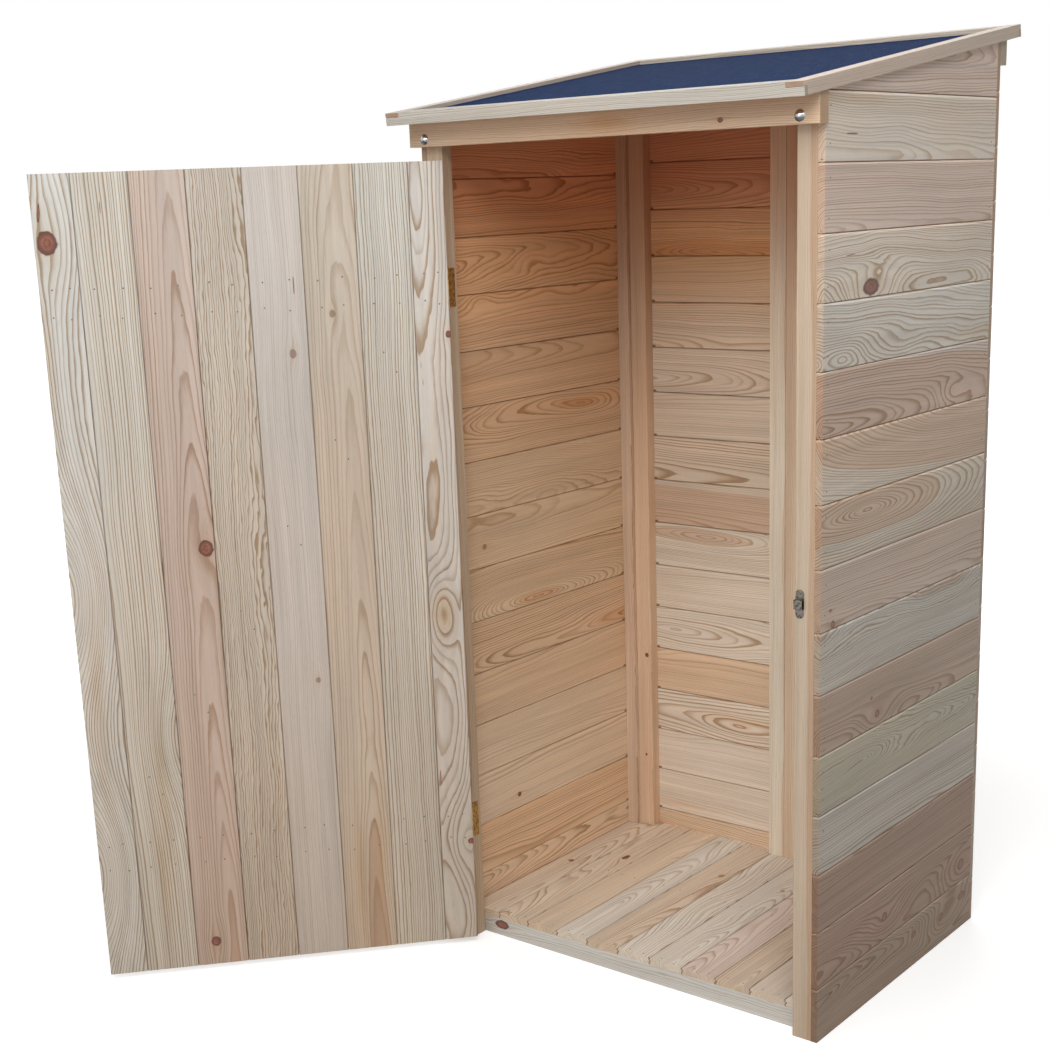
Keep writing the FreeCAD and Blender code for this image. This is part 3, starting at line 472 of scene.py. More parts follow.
# Wall boards from the bottom up: shade, pith across and through (mm), climb, contrast, ring pitch (mm),
# wave and heart (mm)
RIGHT_BOARDS = [
    ("moss", 20, -40, 0.06, 1.5, 4, 1.4, 0), ("umber", -30, -45, 0.04, 1.3, 4, 1.2, 0),
    ("umber", 60, -50, 0.02, 1, 3.5, 0.6, 0), ("grey", -60, -20, 0.01, 1.1, 5, 0.5, 0),
    ("green", 10, -35, 0.07, 1.3, 3.2, 1.8, 0), ("brown", -50, -50, 0.02, 1, 3.5, 0.7, 0),
    ("grey", 75, -25, 0.05, 1.1, 3.4, 1.8, 45), ("pink", -60, -50, 0.03, 0.9, 3.5, 0.6, 0),
    ("cream", 25, -27, 0.16, 1.2, 4.4, 0.8, 52), ("cream", 90, -68, -0.17, 0.95, 4, 0.5, 148),
    ("pearl", -40, -45, 0.06, 1.2, 4.5, 0.8, 99), ("ivory", -50, -34, 0.1, 1.2, 6, 1.4, 0),
    ("cream", -50, -30, 0.04, 1.2, 4, 1.2, 0), ("pink", -50, -30, 0.02, 0.9, 3.4, 0.5, 0),
    ("cream", -50, -40, 0.03, 0.8, 4.5, 0.8, 0), ("pink", 30, -40, 0.05, 1, 5, 1, 0),
]
LEFT_BOARDS = [
    ("amber", 40, -30, 0.05, 0.95, 4, 0.8, 0), ("orange", -50, -40, 0.01, 0.95, 4, 0.4, 0),
    ("honey", 80, -40, 0.02, 0.55, 4, 0.5, 0), ("honey", -70, -50, 0.02, 0.5, 4, 0.6, 0),
    ("amber", 70, -50, 0.02, 0.5, 4, 0.5, 0), ("amber", -35, -17, -0.06, 1, 4.5, 0.8, 25),
    ("honey", -45, 8, 0.16, 1, 3.4, 0.6, 12), ("honey", 50, -60, 0.02, 0.55, 4, 0.8, 0),
    ("honey", -50, -35, 0.05, 0.65, 4, 1.2, 0), ("amber", 25, 27, 0.12, 0.95, 4.5, 1, 10),
    ("amber", 40, -50, 0.03, 0.65, 4, 0.5, 0), ("amber", 60, -30, 0.04, 0.8, 5, 0.8, 0),
    ("honey", 0, -22, 0.1, 0.9, 5, 1.3, 0), ("amber", 50, -40, 0.03, 0.85, 3.5, 0.7, 0),
    ("amber", -60, -30, 0.02, 1, 3.5, 1.2, 0), ("orange", -30, -50, 0.05, 0.7, 4, 0.8, 0),
]
BACK_BOARDS = [
    ("honey", 0, -14, 0.09, 1, 4.5, 0.9, 25), ("cream", -70, -60, 0.02, 0.45, 4, 0.5, 0),
    ("cream", 70, -60, 0.02, 0.4, 4, 0.5, 0), ("cream", 0, -1, 0.12, 1.5, 7.5, 1, 7),
    ("amber", 60, -50, 0.02, 0.5, 4, 0.5, 0), ("cream", 0, -15, 0.1, 0.9, 5, 1, 0),
    ("cream", 80, -50, 0.02, 0.65, 3, 0.5, 0), ("cream", 30, -21, 0.1, 0.95, 4, 1, 18),
    ("straw", -60, -50, 0.02, 0.6, 4, 0.4, 112), ("straw", -40, -60, 0.04, 1, 4.5, 0.4, 0),
    ("straw", 70, -60, 0.02, 0.55, 4, 0.5, 0), ("straw", -20, -30, 0.09, 0.75, 4.5, 0.8, 0),
    ("tan", -60, -50, 0.02, 0.9, 4, 0.5, 0), ("tan", 70, -50, 0.02, 0.6, 4, 0.5, 0),
    ("amber", -45, -7, 0.1, 1, 4.5, 0.8, 30), ("amber", -10, -20, 0.08, 0.85, 5, 1, 0),
    ("amber", 30, -50, 0.03, 0.6, 4, 0.6, 0), ("orange", 30, -50, 0.04, 0.7, 4, 0.6, 0),
]
# Marks of a wall: board from the bottom, place along it, height, radius (mm) and kind
RIGHT_KNOTS = [
    (12, -176, 1404, 15, "long"), (12, -176, 1412, 20, "swirl"), (12, -252, 1455, 1.2, "crack"),
    (11, -112, 1301, 18, "swirl"), (11, 319, 1289, 8, "streak"), (7, -301, 814, 7, "knot"),
    (7, -310, 840, 4, "knot"), (5, -122, 598, 8, "knot"), (5, -146, 634, 4, "knot"),
    (5, -122, 598, 16, "swirl"), (1, 281, 150, 13, "knot"), (1, 281, 150, 24, "swirl"),
    (1, -74, 159, 10, "knot"), (1, -74, 159, 26, "swirl"), (0, 60, 70, 8, "knot"),
    (0, 190, 60, 10, "knot"), (0, 290, 74, 9, "long"), (0, 190, 60, 24, "swirl"),
    (14, -252, 1664, 1.5, "crack"), (14, -212, 1722, 7, "streak"), (10, 170, 1180, 12, "swirl"),
    (6, -71, 657, 14, "swirl"),
]
LEFT_KNOTS = [
    (7, -219, 850, 6, "faint"), (2, -132, 257, 5.5, "knot"), (11, -200, 1371, 9, "swirl"),
    (12, -27, 1442, 11, "swirl"), (5, -33, 703, 9, "streak"), (9, 204, 1124, 10, "streak"),
]
BACK_KNOTS = [
    (4, 200, 470, 8, "knot"), (11, 150, 1180, 7, "knot"), (14, -150, 1500, 6, "swirl"),
    (7, 250, 790, 6, "knot"), (3, -117, 359, 7, "streak"), (1, -304, 115, 5, "streak"),
]
# A wall board's joint: dark at its foot and top, the foot also painted shade under the board's lower
# chamfered edge, then a painted highlight on the chamfered edge below the top
JOINT_FOOT = (0.0022, 0.0004)
JOINT_TOP = (0.0009, 0.0002)
CHAMFER_HIGHLIGHT_TOP = (0.0008, 0.0014)
CHAMFER_HIGHLIGHT_FOOT = (0.0054, 0.0042)
JOINT_GRIME_AND_SHADE = 0.8
END_DIRT = 0.3
INSIDE_DEPTH = (WALL * 0.45, WALL * 0.55)
# Where the joints gape beside the rear battens, painted dark as shade in the gaps
NOTCH_STEP = 0.003
NOTCH_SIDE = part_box("left_rear_side_batten")[0][1] - NOTCH_STEP
NOTCH_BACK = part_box("left_rear_back_batten")[1][0] + NOTCH_STEP
NOTCH_WIDTH = (0.006, 0.0035)
NOTCH_HEIGHT = (0.007, 0.004)
# What the full scale of a board table stands for
PITH_SPAN = 0.3
CLIMB_SPAN = 0.5
CONTRAST_SPAN = 2.0
PITCH_SPAN = 0.01
WAVE_SPAN = 4.0
HEART_SPAN = 0.2
# How near a board's number has to be for a mark to lie on it
SAME_BOARD = 0.4


def steady(tint):
    """One tint at every height."""
    return (0.0, tint), (1.0, tint)


# How a wood's colour changes with height: height (m) and tint
PLAIN_FADE = steady((1.0, 1.0, 1.0))
# Floor boards paler all over: painted light for the light that reaches inside
FLOOR_FADE = steady((1.34, 1.44, 1.56))
# Lintel paler all over: painted light against the shadow of the roof strip
LINTEL_FADE = steady((1.16, 1.13, 1.13))
TRIM_FADE = steady((1.08, 1.02, 1.02))
# Roof deck darker and redder all over: painted shade under the roof
DECK_FADE = steady((0.9, 0.62, 0.42))
# Door boards darker and warmer towards the bottom: painted shade
DOOR_FADE = ((0.1, (0.93, 0.87, 0.81)), (0.85, (0.99, 0.96, 0.94)), (1.55, (1.02, 1.05, 1.08)))
# Outside of the right wall: lighter towards the top and darker low down, painted light and shade
RIGHT_FADE = ((0.2, (0.95, 0.93, 0.91)), (0.9, (1.0, 1.0, 1.0)), (1.2, (1.22, 1.22, 1.24)),
              (1.6, (1.35, 1.36, 1.41)))
# Outside of the left and back walls: greyer as weathered wood, and lighter towards the top as painted light,
# like the right wall
REVERSE_FADE = ((0.2, (0.93, 0.98, 1.07)), (0.9, (0.98, 1.05, 1.16)), (1.2, (1.12, 1.2, 1.32)),
                (1.6, (1.2, 1.3, 1.48)))
# Inside faces of the walls and battens, these four tints: paler low down as painted light, and darker and
# redder towards the roof as painted shade under the roof
LEFT_FADE = ((0.15, (1.48, 1.5, 1.54)), (0.85, (1.32, 1.25, 1.16)), (1.25, (1.24, 1.08, 0.94)),
             (1.45, (1.42, 1.08, 0.8)), (1.62, (1.3, 0.8, 0.6)))
BACK_FADE = ((0.15, (1.34, 1.32, 1.32)), (0.85, (1.22, 1.21, 1.19)), (1.25, (1.32, 1.3, 1.28)),
             (1.45, (1.27, 0.97, 0.7)), (1.62, (0.93, 0.49, 0.34)))
REAR_FADE = ((0.15, (1.36, 1.32, 1.34)), (0.9, (1.32, 1.24, 1.22)), (1.3, (1.15, 1.04, 1.00)),
             (1.65, (0.98, 0.69, 0.55)))
MIDDLE_FADE = ((0.15, (1.42, 1.46, 1.44)), (0.9, (1.4, 1.43, 1.4)), (1.3, (1.32, 1.28, 1.2)),
               (1.65, (1.1, 0.82, 0.64)))
FADE_TOP = 2.0
FADE_SPAN = 2.0


def fade(net, z, stops):
    """A tint that changes smoothly with height."""
    ramp = net.node("ShaderNodeValToRGB")
    ramp.color_ramp.interpolation = "EASE"
    marks = ramp.color_ramp.elements
    while len(marks) < len(stops):
        marks.new(0.5)
    for mark, (height, tint) in zip(marks, stops):
        mark.position = height / FADE_TOP
        mark.color = (*[value / FADE_SPAN for value in tint], 1.0)
    net.put(ramp.inputs[0], net.mul(z, 1.0 / FADE_TOP))
    scale = net.node("ShaderNodeVectorMath", operation="SCALE")
    net.put(scale.inputs[0], ramp.outputs["Color"])
    scale.inputs["Scale"].default_value = FADE_SPAN
    return scale.outputs[0]


def course_material(name, axis, boards, knots, cover, start, outer, seed, outer_fade, inner_fade, notch_at):
    """Boards in courses: each has its own shade, rings and knots, dark joints and fresher wood inside, with
    painted light and shade in the height tints, at the joints and in gaping joints, and a painted highlight
    on each outer board's upper edge.
    """
    material, net, shader = new_material(name)
    place, normal = object_place(net)
    x, y, z = net.split(place)
    face_x, face_y = net.split(normal)[:2]
    along, facing, through = (y, face_y, x) if axis == "Y" else (x, face_x, y)
    deep = net.math("ABSOLUTE", net.sub(through, outer))
    index = net.math("FLOOR", net.mul(net.sub(z, start), 1.0 / cover))
    centre = net.add(net.mul(net.add(index, 0.5), cover), start)
    rise = net.sub(z, net.add(net.mul(index, cover), start))
    drop = net.sub(cover, rise)
    shades = net.table(index, [TONES[row[0]] for row in boards])
    pith, depth, climb = net.split(net.table(index, [
        (row[1] * MM / PITH_SPAN + 0.5, row[2] * MM / PITH_SPAN + 0.5, row[3] / CLIMB_SPAN + 0.5)
        for row in boards
    ]))
    contrast, pitch, wave = net.split(net.table(index, [
        (row[4] / CONTRAST_SPAN, row[5] * MM / PITCH_SPAN, row[6] / WAVE_SPAN) for row in boards
    ]))
    heart = net.split(net.table(index, [(row[7] * MM / HEART_SPAN, 0.0, 0.0) for row in boards]))[0]
    wave = net.mul(wave, WAVE_SPAN)
    gates = [net.math("COMPARE", index, float(row[0]), SAME_BOARD) for row in knots]

    end = end_share(net, facing)
    inside = net.mul(net.ease(deep, *INSIDE_DEPTH), net.sub(1.0, end))
    # Height tints outside and inside, which hold painted light and shade
    shade = net.tint(shades, net.mix(inside, fade(net, z, outer_fade), fade(net, z, inner_fade)))
    # Dark joints, wider at each board's foot for painted shade under its lower chamfered edge
    joint = net.math("MAXIMUM", net.ease(rise, *JOINT_FOOT), net.ease(drop, *JOINT_TOP))
    # Painted highlight on the chamfered edge below each outer board's top
    chamfer_highlight = net.mul(net.ease(drop, *CHAMFER_HIGHLIGHT_TOP), net.ease(drop, *CHAMFER_HIGHLIGHT_FOOT), net.sub(1.0, inside))
    # Painted shade in the gaping joints beside the rear battens
    notch = net.ease(net.math("ABSOLUTE", net.sub(along, notch_at)), *NOTCH_WIDTH)
    notch = net.mul(notch, inside, net.ease(rise, *NOTCH_HEIGHT))
    # Grime at joints and ends, with the painted shade of the joints' feet and gaps
    grime_and_shade = net.math("MAXIMUM", net.math("MAXIMUM", net.mul(joint, JOINT_GRIME_AND_SHADE), notch), net.mul(end, END_DIRT))
    looks = {
        "Centre": centre, "Seed": net.add(index, seed),
        "Pith Across": net.mul(net.sub(pith, 0.5), PITH_SPAN),
        "Pith Deep": net.mul(net.sub(depth, 0.5), PITH_SPAN),
        "Climb": net.mul(net.sub(climb, 0.5), CLIMB_SPAN),
        "Pitch": net.mul(pitch, PITCH_SPAN),
        "Wave": wave, "Curl": wave,
        "Heart": net.mul(heart, HEART_SPAN),
        "Pale": net.mix(chamfer_highlight, shade, net.tint(shade, CHAMFER_HIGHLIGHT_TINT)),
        "Contrast": net.mul(contrast, CONTRAST_SPAN),
        "Dirt": grime_and_shade,
    }
    points = [(row[1] * MM, row[2] * MM, row[3] * MM, row[4]) for row in knots]
    wood_surface(net, shader, net.join(along, z, deep), end, looks, points, gates)
    return material


# Where a joint is fully dark, as a share of its width
SEAM_DARK = 0.3


def timber(name, axis, tone, seed, pith, climb=0.02, contrast=0.6, pitch=0.003, knots=(), centre=None,
           door=False, wave=0.6, slope=0.0, heart=0.0, half=0.0, stops=PLAIN_FADE, curl=0.8, gap=0.8,
           seam=0.0012, tip=0.0):
    """Dresses a straight piece that runs along an axis, its rings about a pith given from its centre."""
    material, net, shader = new_material(name.replace("_boards", "") + "_wood")
    centre = centre or node_centre(name)
    place, normal = door_place(net) if door else object_place(net)
    if slope:
        about = "X" if axis == "Y" else "Y"
        place = turned(net, place, Vector(centre), about, slope)
        normal = turned(net, normal, NOUGHT, about, slope)
    parts = net.split(place)
    faces = net.split(normal)
    order = {"X": (0, 2, 1), "Y": (1, 0, 2), "Z": (2, 0, 1)}[axis]
    local = [net.sub(parts[number], centre[number]) for number in order]
    height = net.split(object_place(net)[0])[2]
    looks = {
        "Seed": seed, "Pith Across": pith[0], "Pith Deep": pith[1], "Climb": climb, "Pitch": pitch,
        "Wave": wave, "Curl": curl, "Heart": heart, "Contrast": contrast,
        "Pale": net.tint((*TONES[tone], 1.0), fade(net, height, stops)),
    }
    end = end_share(net, faces[order[0]])
    if half:
        edge = net.sub(half, net.math("ABSOLUTE", local[1]))
        looks["Dirt"] = net.mul(net.ease(edge, seam, seam * SEAM_DARK), gap)
    if tip:
        looks["Dirt"] = net.mul(end, tip)
    wood_surface(net, shader, net.join(*local), end, looks, knots)
    dress(name, material)


def node_centre(name):
    """The middle of a node's box."""
    low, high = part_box(name)
    return [(a + b) / 2.0 for a, b in zip(low, high)]


def dress(name, material):
    """Gives a node of the frame its material."""
    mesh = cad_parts[name].data
    mesh.materials.clear()
    mesh.materials.append(material)


def door_across(name):
    """Distance of a door piece's middle from the hinge axis, along the door."""
    return (DOOR_TURN.transposed() @ (Vector(node_centre(name)) - HINGE)).x


SAME_POINT = 0.00001
SHARP_EDGE = math.radians(50.0)
EDGE_ROUND = 0.001
TRIM_ROUND = 0.0008


def soften(name, width=EDGE_ROUND):
    """Takes the sharpness off a timber's edges."""
    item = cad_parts[name]
    weld = item.modifiers.new("weld", "WELD")
    weld.merge_threshold = SAME_POINT
    bevel = item.modifiers.new("bevel", "BEVEL")
    bevel.width = width
    bevel.segments = 2
    bevel.limit_method = "ANGLE"
    bevel.angle_limit = SHARP_EDGE


# The cabinet's walls: direction, boards, marks, cover, start, outer face, seed, tints outside and inside,
# and where the joints gape
WALLS = {
    "right_wall": ("Y", RIGHT_BOARDS, RIGHT_KNOTS, SIDE_COVER, SIDE_START, HALF_WIDTH, 3.0,
                   RIGHT_FADE, LEFT_FADE, NOTCH_SIDE),
    "left_wall": ("Y", LEFT_BOARDS, LEFT_KNOTS, SIDE_COVER, SIDE_START, -HALF_WIDTH, 41.0,
                  REVERSE_FADE, LEFT_FADE, NOTCH_SIDE),
    "back_wall": ("X", BACK_BOARDS, BACK_KNOTS, BACK_COVER, BACK_START, HALF_DEPTH, 71.0,
                  REVERSE_FADE, BACK_FADE, NOTCH_BACK),
}
for name, row in WALLS.items():
    dress(name + "_boards", course_material(name + "_wood", *row))

# Frame timbers: direction, shade, pith across and through (m), climb, contrast, heart (m), and marks (along,
# across, radius, kind)
TIMBERS = {
    "left_front_post": ("Z", "honey", (0.05, -0.03), 0.01, 0.8, 0.0, ((0.53, -0.01, 0.006, "knot"),)),
    "right_front_post": ("Z", "tan", (0.055, -0.02), 0.003, 0.5, 0.046, ()),
    "left_rear_side_batten": ("Z", "tan", (0.04, -0.03), 0.012, 1.0, 0.0, ()),
    "left_rear_back_batten": ("Z", "amber", (0.06, -0.05), 0.008, 0.5, 0.0,
                              ((-0.455, 0.008, 0.005, "knot"), (-0.71, 0.002, 0.003, "knot"))),
    "middle_battens": ("Z", "cream", (0.09, -0.05), 0.0, 0.5, 0.101, ()),
    "right_rear_side_batten": ("Z", "tan", (0.04, -0.03), 0.012, 0.8, 0.0, ()),
    "right_rear_back_batten": ("Z", "straw", (0.05, -0.04), 0.01, 0.6, 0.0, ()),
    "lintel": ("X", "amber", (-0.1, -0.05), 0.004, 0.6, 0.0,
               ((0.263, -0.012, 0.0045, "knot"), (0.02, -0.004, 0.012, "blush"))),
    "rear_rail": ("X", "ivory", (0.03, -0.05), 0.012, 0.8, 0.0, ()),
    "floor_bearer_front": ("X", "milk", (0.03, -0.05), 0.01, 0.8, 0.0, ((-0.349, 0.006, 0.01, "long"),)),
    "floor_bearer_middle": ("X", "tan", (0.03, -0.05), 0.01, 0.7, 0.0, ()),
    "floor_bearer_rear": ("X", "cream", (0.02, -0.04), 0.01, 0.7, 0.0, ()),
    "roof_strip_front": ("X", "grey", (0.03, -0.03), 0.01, 0.7, 0.0, ()),
    "roof_strip_back": ("X", "cream", (-0.03, -0.04), 0.01, 0.7, 0.0, ()),
}
OWN_FADES = {"middle_battens": MIDDLE_FADE, "lintel": LINTEL_FADE}
# The first seed of each kind of timber, and the step from one piece to the next
FRAME_SEED = 101.0
TRIM_SEED = 201.0
FLOOR_SEED = 301.0
DOOR_SEED = 401.0
NEXT_SEED = 3.0
NEXT_DOOR_SEED = 5.0
for number, (name, row) in enumerate(TIMBERS.items()):
    axis, tone, pith, climb, contrast, heart, knots = row
    stops = REAR_FADE if "_rear_" in name else OWN_FADES.get(name, PLAIN_FADE)
    seed = FRAME_SEED + number * NEXT_SEED
    timber(name, axis, tone, seed, pith, climb, contrast, knots=knots, stops=stops, heart=heart, curl=1.5)
    if name != "lintel":
        soften(name)
for number, name in enumerate(("roof_strip_left", "roof_strip_right")):
    seed = TRIM_SEED + number * NEXT_SEED
    timber(name, "Y", "cream", seed, (0.03, -0.03), climb=0.01, contrast=0.5, pitch=0.0026, slope=-ROOF_SLOPE,
           stops=TRIM_FADE, tip=0.55)
    soften(name, TRIM_ROUND)

# Floor boards from the left: shade, pith across and through (mm), climb, contrast, and marks (along,
# across, radius mm, kind)
FLOOR_BOARDS = [
    ("tan", (20, -40), 0.06, 0.8, ((1, -8, 6, "knot"),)),
    ("tan", (-30, -40), 0.05, 0.8, ((89, 8, 7, "long"),)),
    ("honey", (60, -50), 0.03, 0.6, ()), ("cream", (-10, -35), 0.07, 0.8, ()),
    ("tan", (30, -40), 0.05, 0.8, ((120, 14, 7, "faint"),)),
    ("cream", (-40, -50), 0.04, 0.9, ((-60, 5, 18, "swirl"),)),
    ("cream", (20, -30), 0.09, 0.9, ((124, 12, 5, "faint"), (-100, 0, 14, "swirl"))),
    ("pink", (-30, -40), 0.05, 0.7, ()), ("tan", (10, -35), 0.06, 0.8, ()),
    ("straw", (50, -50), 0.03, 0.6, ()), ("cream", (-20, -40), 0.05, 0.7, ()),
]
FLOOR_SEAM = 0.0036
for number, (tone, pith, climb, contrast, knots) in enumerate(FLOOR_BOARDS, start=1):
    name = "floor_board_%02d" % number
    low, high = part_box(name)
    points = [(along * MM, across * MM, radius * MM, kind) for along, across, radius, kind in knots]
    pith = (pith[0] * MM, pith[1] * MM)
    seed = FLOOR_SEED + number * NEXT_SEED
    half = (high[0] - low[0]) / 2.0
    timber(name, "Y", tone, seed, pith, climb, contrast, pitch=0.004, knots=points, wave=1.0, half=half,
           stops=FLOOR_FADE, seam=FLOOR_SEAM, gap=1.0)

# Door boards from the hinge: shade, pith across and through (mm), climb, contrast, ring pitch (mm), wave,
# curl, heart (mm), and marks (height, across the door, radius mm, kind)
DOOR_BOARDS = [
    ("white", (15, -36), -0.02, 1.0, 4.0, 0.6, 0.9, 0,
     ((1319, 6, 6, "knot"), (748, 46, 22, "swirl"), (748, 44, 9, "eye"), (389, 66, 1.2, "crack"),
      (238, 22, 22, "swirl"), (238, 12, 6, "knot"), (1010, 48, 6, "streak"))),
    ("ivory", (140, -40), 0.004, 1.2, 4.8, 0.5, 1.6, 0, ()),
    ("straw", (-20, -25), 0.03, 0.7, 5.0, 0.5, 0.8, 26,
     ((1370, 234, 6, "faint"), (1478, 240, 1.3, "streak"), (185, 249, 8, "streak"), (250, 201, 7, "streak"))),
    ("pearl", (-120, -60), 0.01, 0.4, 4.0, 0.5, 1.2, 0,
     ((1296, 316, 7, "faint"), (1428, 306, 1.2, "crack"), (625, 310, 5, "faint"))),
    ("oat", (-90, -60), 0.02, 1.3, 4.2, 0.9, 3.8, 0, ()),
    ("rose", (-22, -25), 0.03, 0.8, 4.6, 0.4, 0.8, 20, ((918, 516, 15, "knot"), (66, 564, 10, "knot"))),
    ("ivory", (90, -50), 0.012, 1.25, 4.6, 0.3, 0.8, 0,
     ((520, 604, 24, "whorl"), (429, 640, 9, "streak"), (228, 659, 8, "streak"), (1588, 660, 0.8, "crack"))),
    ("milk", (-52, -60), 0.006, 1.4, 4.8, 0.35, 1.0, 0,
     ((1526, 764, 20, "knot"), (837, 798, 30, "whorl"), (243, 796, 30, "whorl"), (1315, 786, 8, "streak"),
      (1582, 768, 1.2, "crack"), (620, 760, 10, "streak"))),
]
# How dark the joints beside each door board are, and half the width of each
DOOR_GAPS = (0.2, 0.28, 0.3, 0.25, 0.35, 0.6, 0.22, 0.15)
DOOR_HALVES = (0.03515, *(0.05325,) * 6, 0.03835)
for number, row in enumerate(DOOR_BOARDS, start=1):
    tone, pith, climb, contrast, pitch, wave, curl, heart, knots = row
    name = "door_board_%d" % number
    across = door_across(name)
    points = [(knot[0] * MM - DOOR_MIDDLE, knot[1] * MM - across, knot[2] * MM, knot[3]) for knot in knots]
    centre = (across, LEDGE_INNER, DOOR_MIDDLE)
    pith = (pith[0] * MM, pith[1] * MM)
    seed = DOOR_SEED + number * NEXT_DOOR_SEED
    timber(name, "Z", tone, seed, pith, climb, contrast, pitch * MM, points, centre, door=True, wave=wave,
           heart=heart * MM, half=DOOR_HALVES[number - 1], stops=DOOR_FADE, curl=curl,
           gap=DOOR_GAPS[number - 1])

# The brace rises from the free edge of the door to the hinge side of the upper ledge
DOOR_WIDTH = 0.786
BRACE_WIDTH = 0.09
BRACE_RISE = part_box("door_brace")[1][2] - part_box("door_brace")[0][2]
BRACE_FOOT = BRACE_WIDTH * math.hypot(1.0, (DOOR_WIDTH - BRACE_WIDTH) / BRACE_RISE)
BRACE_SLOPE = math.atan2(BRACE_RISE, DOOR_WIDTH - BRACE_FOOT)
DOOR_PITH = (0.02, -0.04)
DOOR_TIMBERS = {
    "door_ledge_top": ("straw", 501.0, 0.0),
    "door_ledge_bottom": ("straw", 504.0, 0.0),
    "bolt_pad": ("straw", 507.0, 0.0),
    "door_brace": ("cream", 521.0, -BRACE_SLOPE),
}
for name, (tone, seed, slope) in DOOR_TIMBERS.items():
    centre = (door_across(name), LEDGE_MIDDLE, node_centre(name)[2])
    timber(name, "X", tone, seed, DOOR_PITH, centre=centre, door=True, slope=slope)
    soften(name)

# Thin boards under the roof, seen from inside
DECK_PLACE = (0.0, 0.0, 1.75)
timber("roof_deck_boards", "X", "orange", 601.0, (0.03, -0.06), pitch=0.0034, centre=DECK_PLACE,
       stops=DECK_FADE)


# Felt: grit of two blues, pale runs down the slope and dull patches
FELT_DARK = (0.003, 0.013, 0.056, 1.0)
FELT_LIGHT = (0.015, 0.045, 0.142, 1.0)
FELT_RUN = (0.045, 0.08, 0.16, 1.0)
FELT_PATCH = (0.01, 0.034, 0.106, 1.0)
GRIT_SCALE = 620.0
RUNS = (300.0, 22.0, 0.0)
RUN_EDGE = (0.52, 0.74)
PATCH_EDGE = (0.45, 0.75)
PATCH_SHARE = 0.5


def felt_material():
    """Roofing felt: blue-grey mineral grit bedded in bitumen."""
    material, net, shader = new_material("felt_grit")
    place = object_place(net)[0]
    cells = net.node("ShaderNodeTexVoronoi")
    net.fill(cells, {"Vector": place, "Scale": GRIT_SCALE})
    color = net.mix(net.split(cells.outputs["Color"])[0], FELT_DARK, FELT_LIGHT)
    run = net.noise(net.spread(net.split(place), RUNS), rough=0.7)[0]
    color = net.mix(net.ease(run, *RUN_EDGE), color, FELT_RUN)
    patch = net.ease(net.noise(place, scale=5.0, detail=3.0, rough=0.6)[0], *PATCH_EDGE)
    color = net.mix(net.mul(patch, PATCH_SHARE), color, FELT_PATCH)
    net.fill(shader, {"Base Color": color, "Roughness": 0.9, "Specular IOR Level": 0.03})
    add_bump(net, shader, cells.outputs["Distance"], strength=0.7, distance=0.0008)
    return material


dress("roof_felt", felt_material())

# Metal: dull patches, fine upright scratches, and where a surface turns to its underside, for a painted dark
# reflection
DULL_EDGE = (0.42, 0.66)
SCRATCHES = (900.0, 900.0, 160.0)
UNDER_REFLECTION_EDGE = (0.1, -0.35)
DULL_ROUGH = 0.18
SCRATCH_ROUGH = 0.1


def metal_material(name, bright, dull, rough, patch_scale, under=None):
    """Plated or rolled metal with dull patches and fine scratches, and a painted dark reflection underneath
    where asked.
    """
    material, net, shader = new_material(name)
    place, normal = object_place(net)
    patch = net.ease(net.noise(place, patch_scale, detail=3.0, rough=0.6)[0], *DULL_EDGE)
    scratch = net.noise(net.spread(net.split(place), SCRATCHES))[0]
    color = net.mix(patch, (*bright, 1.0), (*dull, 1.0))
    if under:
        # Painted dark reflection on the lower side
        color = net.mix(net.ease(net.split(normal)[2], *UNDER_REFLECTION_EDGE), color, (*under, 1.0))
    rough = net.total(rough, (patch, DULL_ROUGH), (net.sub(scratch, 0.5), SCRATCH_ROUGH))
    net.fill(shader, {"Base Color": color, "Roughness": rough, "Metallic": 1.0})
    add_bump(net, shader, scratch, strength=0.3, distance=0.0001)
    return material


BRASS = metal_material("hinge_brass_metal", (0.62, 0.42, 0.16), (0.3, 0.19, 0.08), 0.34, 160.0)
# The lintel bolts' zinc has a painted dark reflection on its lower side
ZINC = metal_material("zinc_plate", (0.56, 0.56, 0.57), (0.4, 0.4, 0.41), 0.14, 60.0, (0.1, 0.1, 0.11))
STEEL = metal_material("slide_bolt_steel", (0.25, 0.25, 0.26), (0.12, 0.115, 0.11), 0.42, 140.0)
DARK_ZINC = metal_material("dark_zinc_plate", (0.17, 0.155, 0.135), (0.045, 0.04, 0.035), 0.3, 200.0)
NAIL = metal_material("nail_steel", (0.2, 0.19, 0.18), (0.11, 0.08, 0.06), 0.45, 300.0)
METAL_PIECES = (
    (BRASS, [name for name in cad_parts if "hinge" in name]),
    (DARK_ZINC, ("bolt_keeper", "keeper_screws")),
    (STEEL, ("bolt_plate", "bolt_plate_screws", "bolt_bar", "bolt_knob")),
    (ZINC, ("lintel_bolts", "lintel_nuts")),
)
for metal, pieces in METAL_PIECES:
    for name in pieces:
        dress(name, metal)


# A nail head's rings from the wood up: share of its radius, and height
HEAD_SIDES = 10
HEAD_RINGS = ((1.0, -0.0004), (0.92, 0.00015), (0.55, 0.0003))
WALL_HEAD = 0.0016
FLOOR_HEAD = 0.0015
DOOR_HEAD = 0.0028
DOOR_POINT = 0.0017


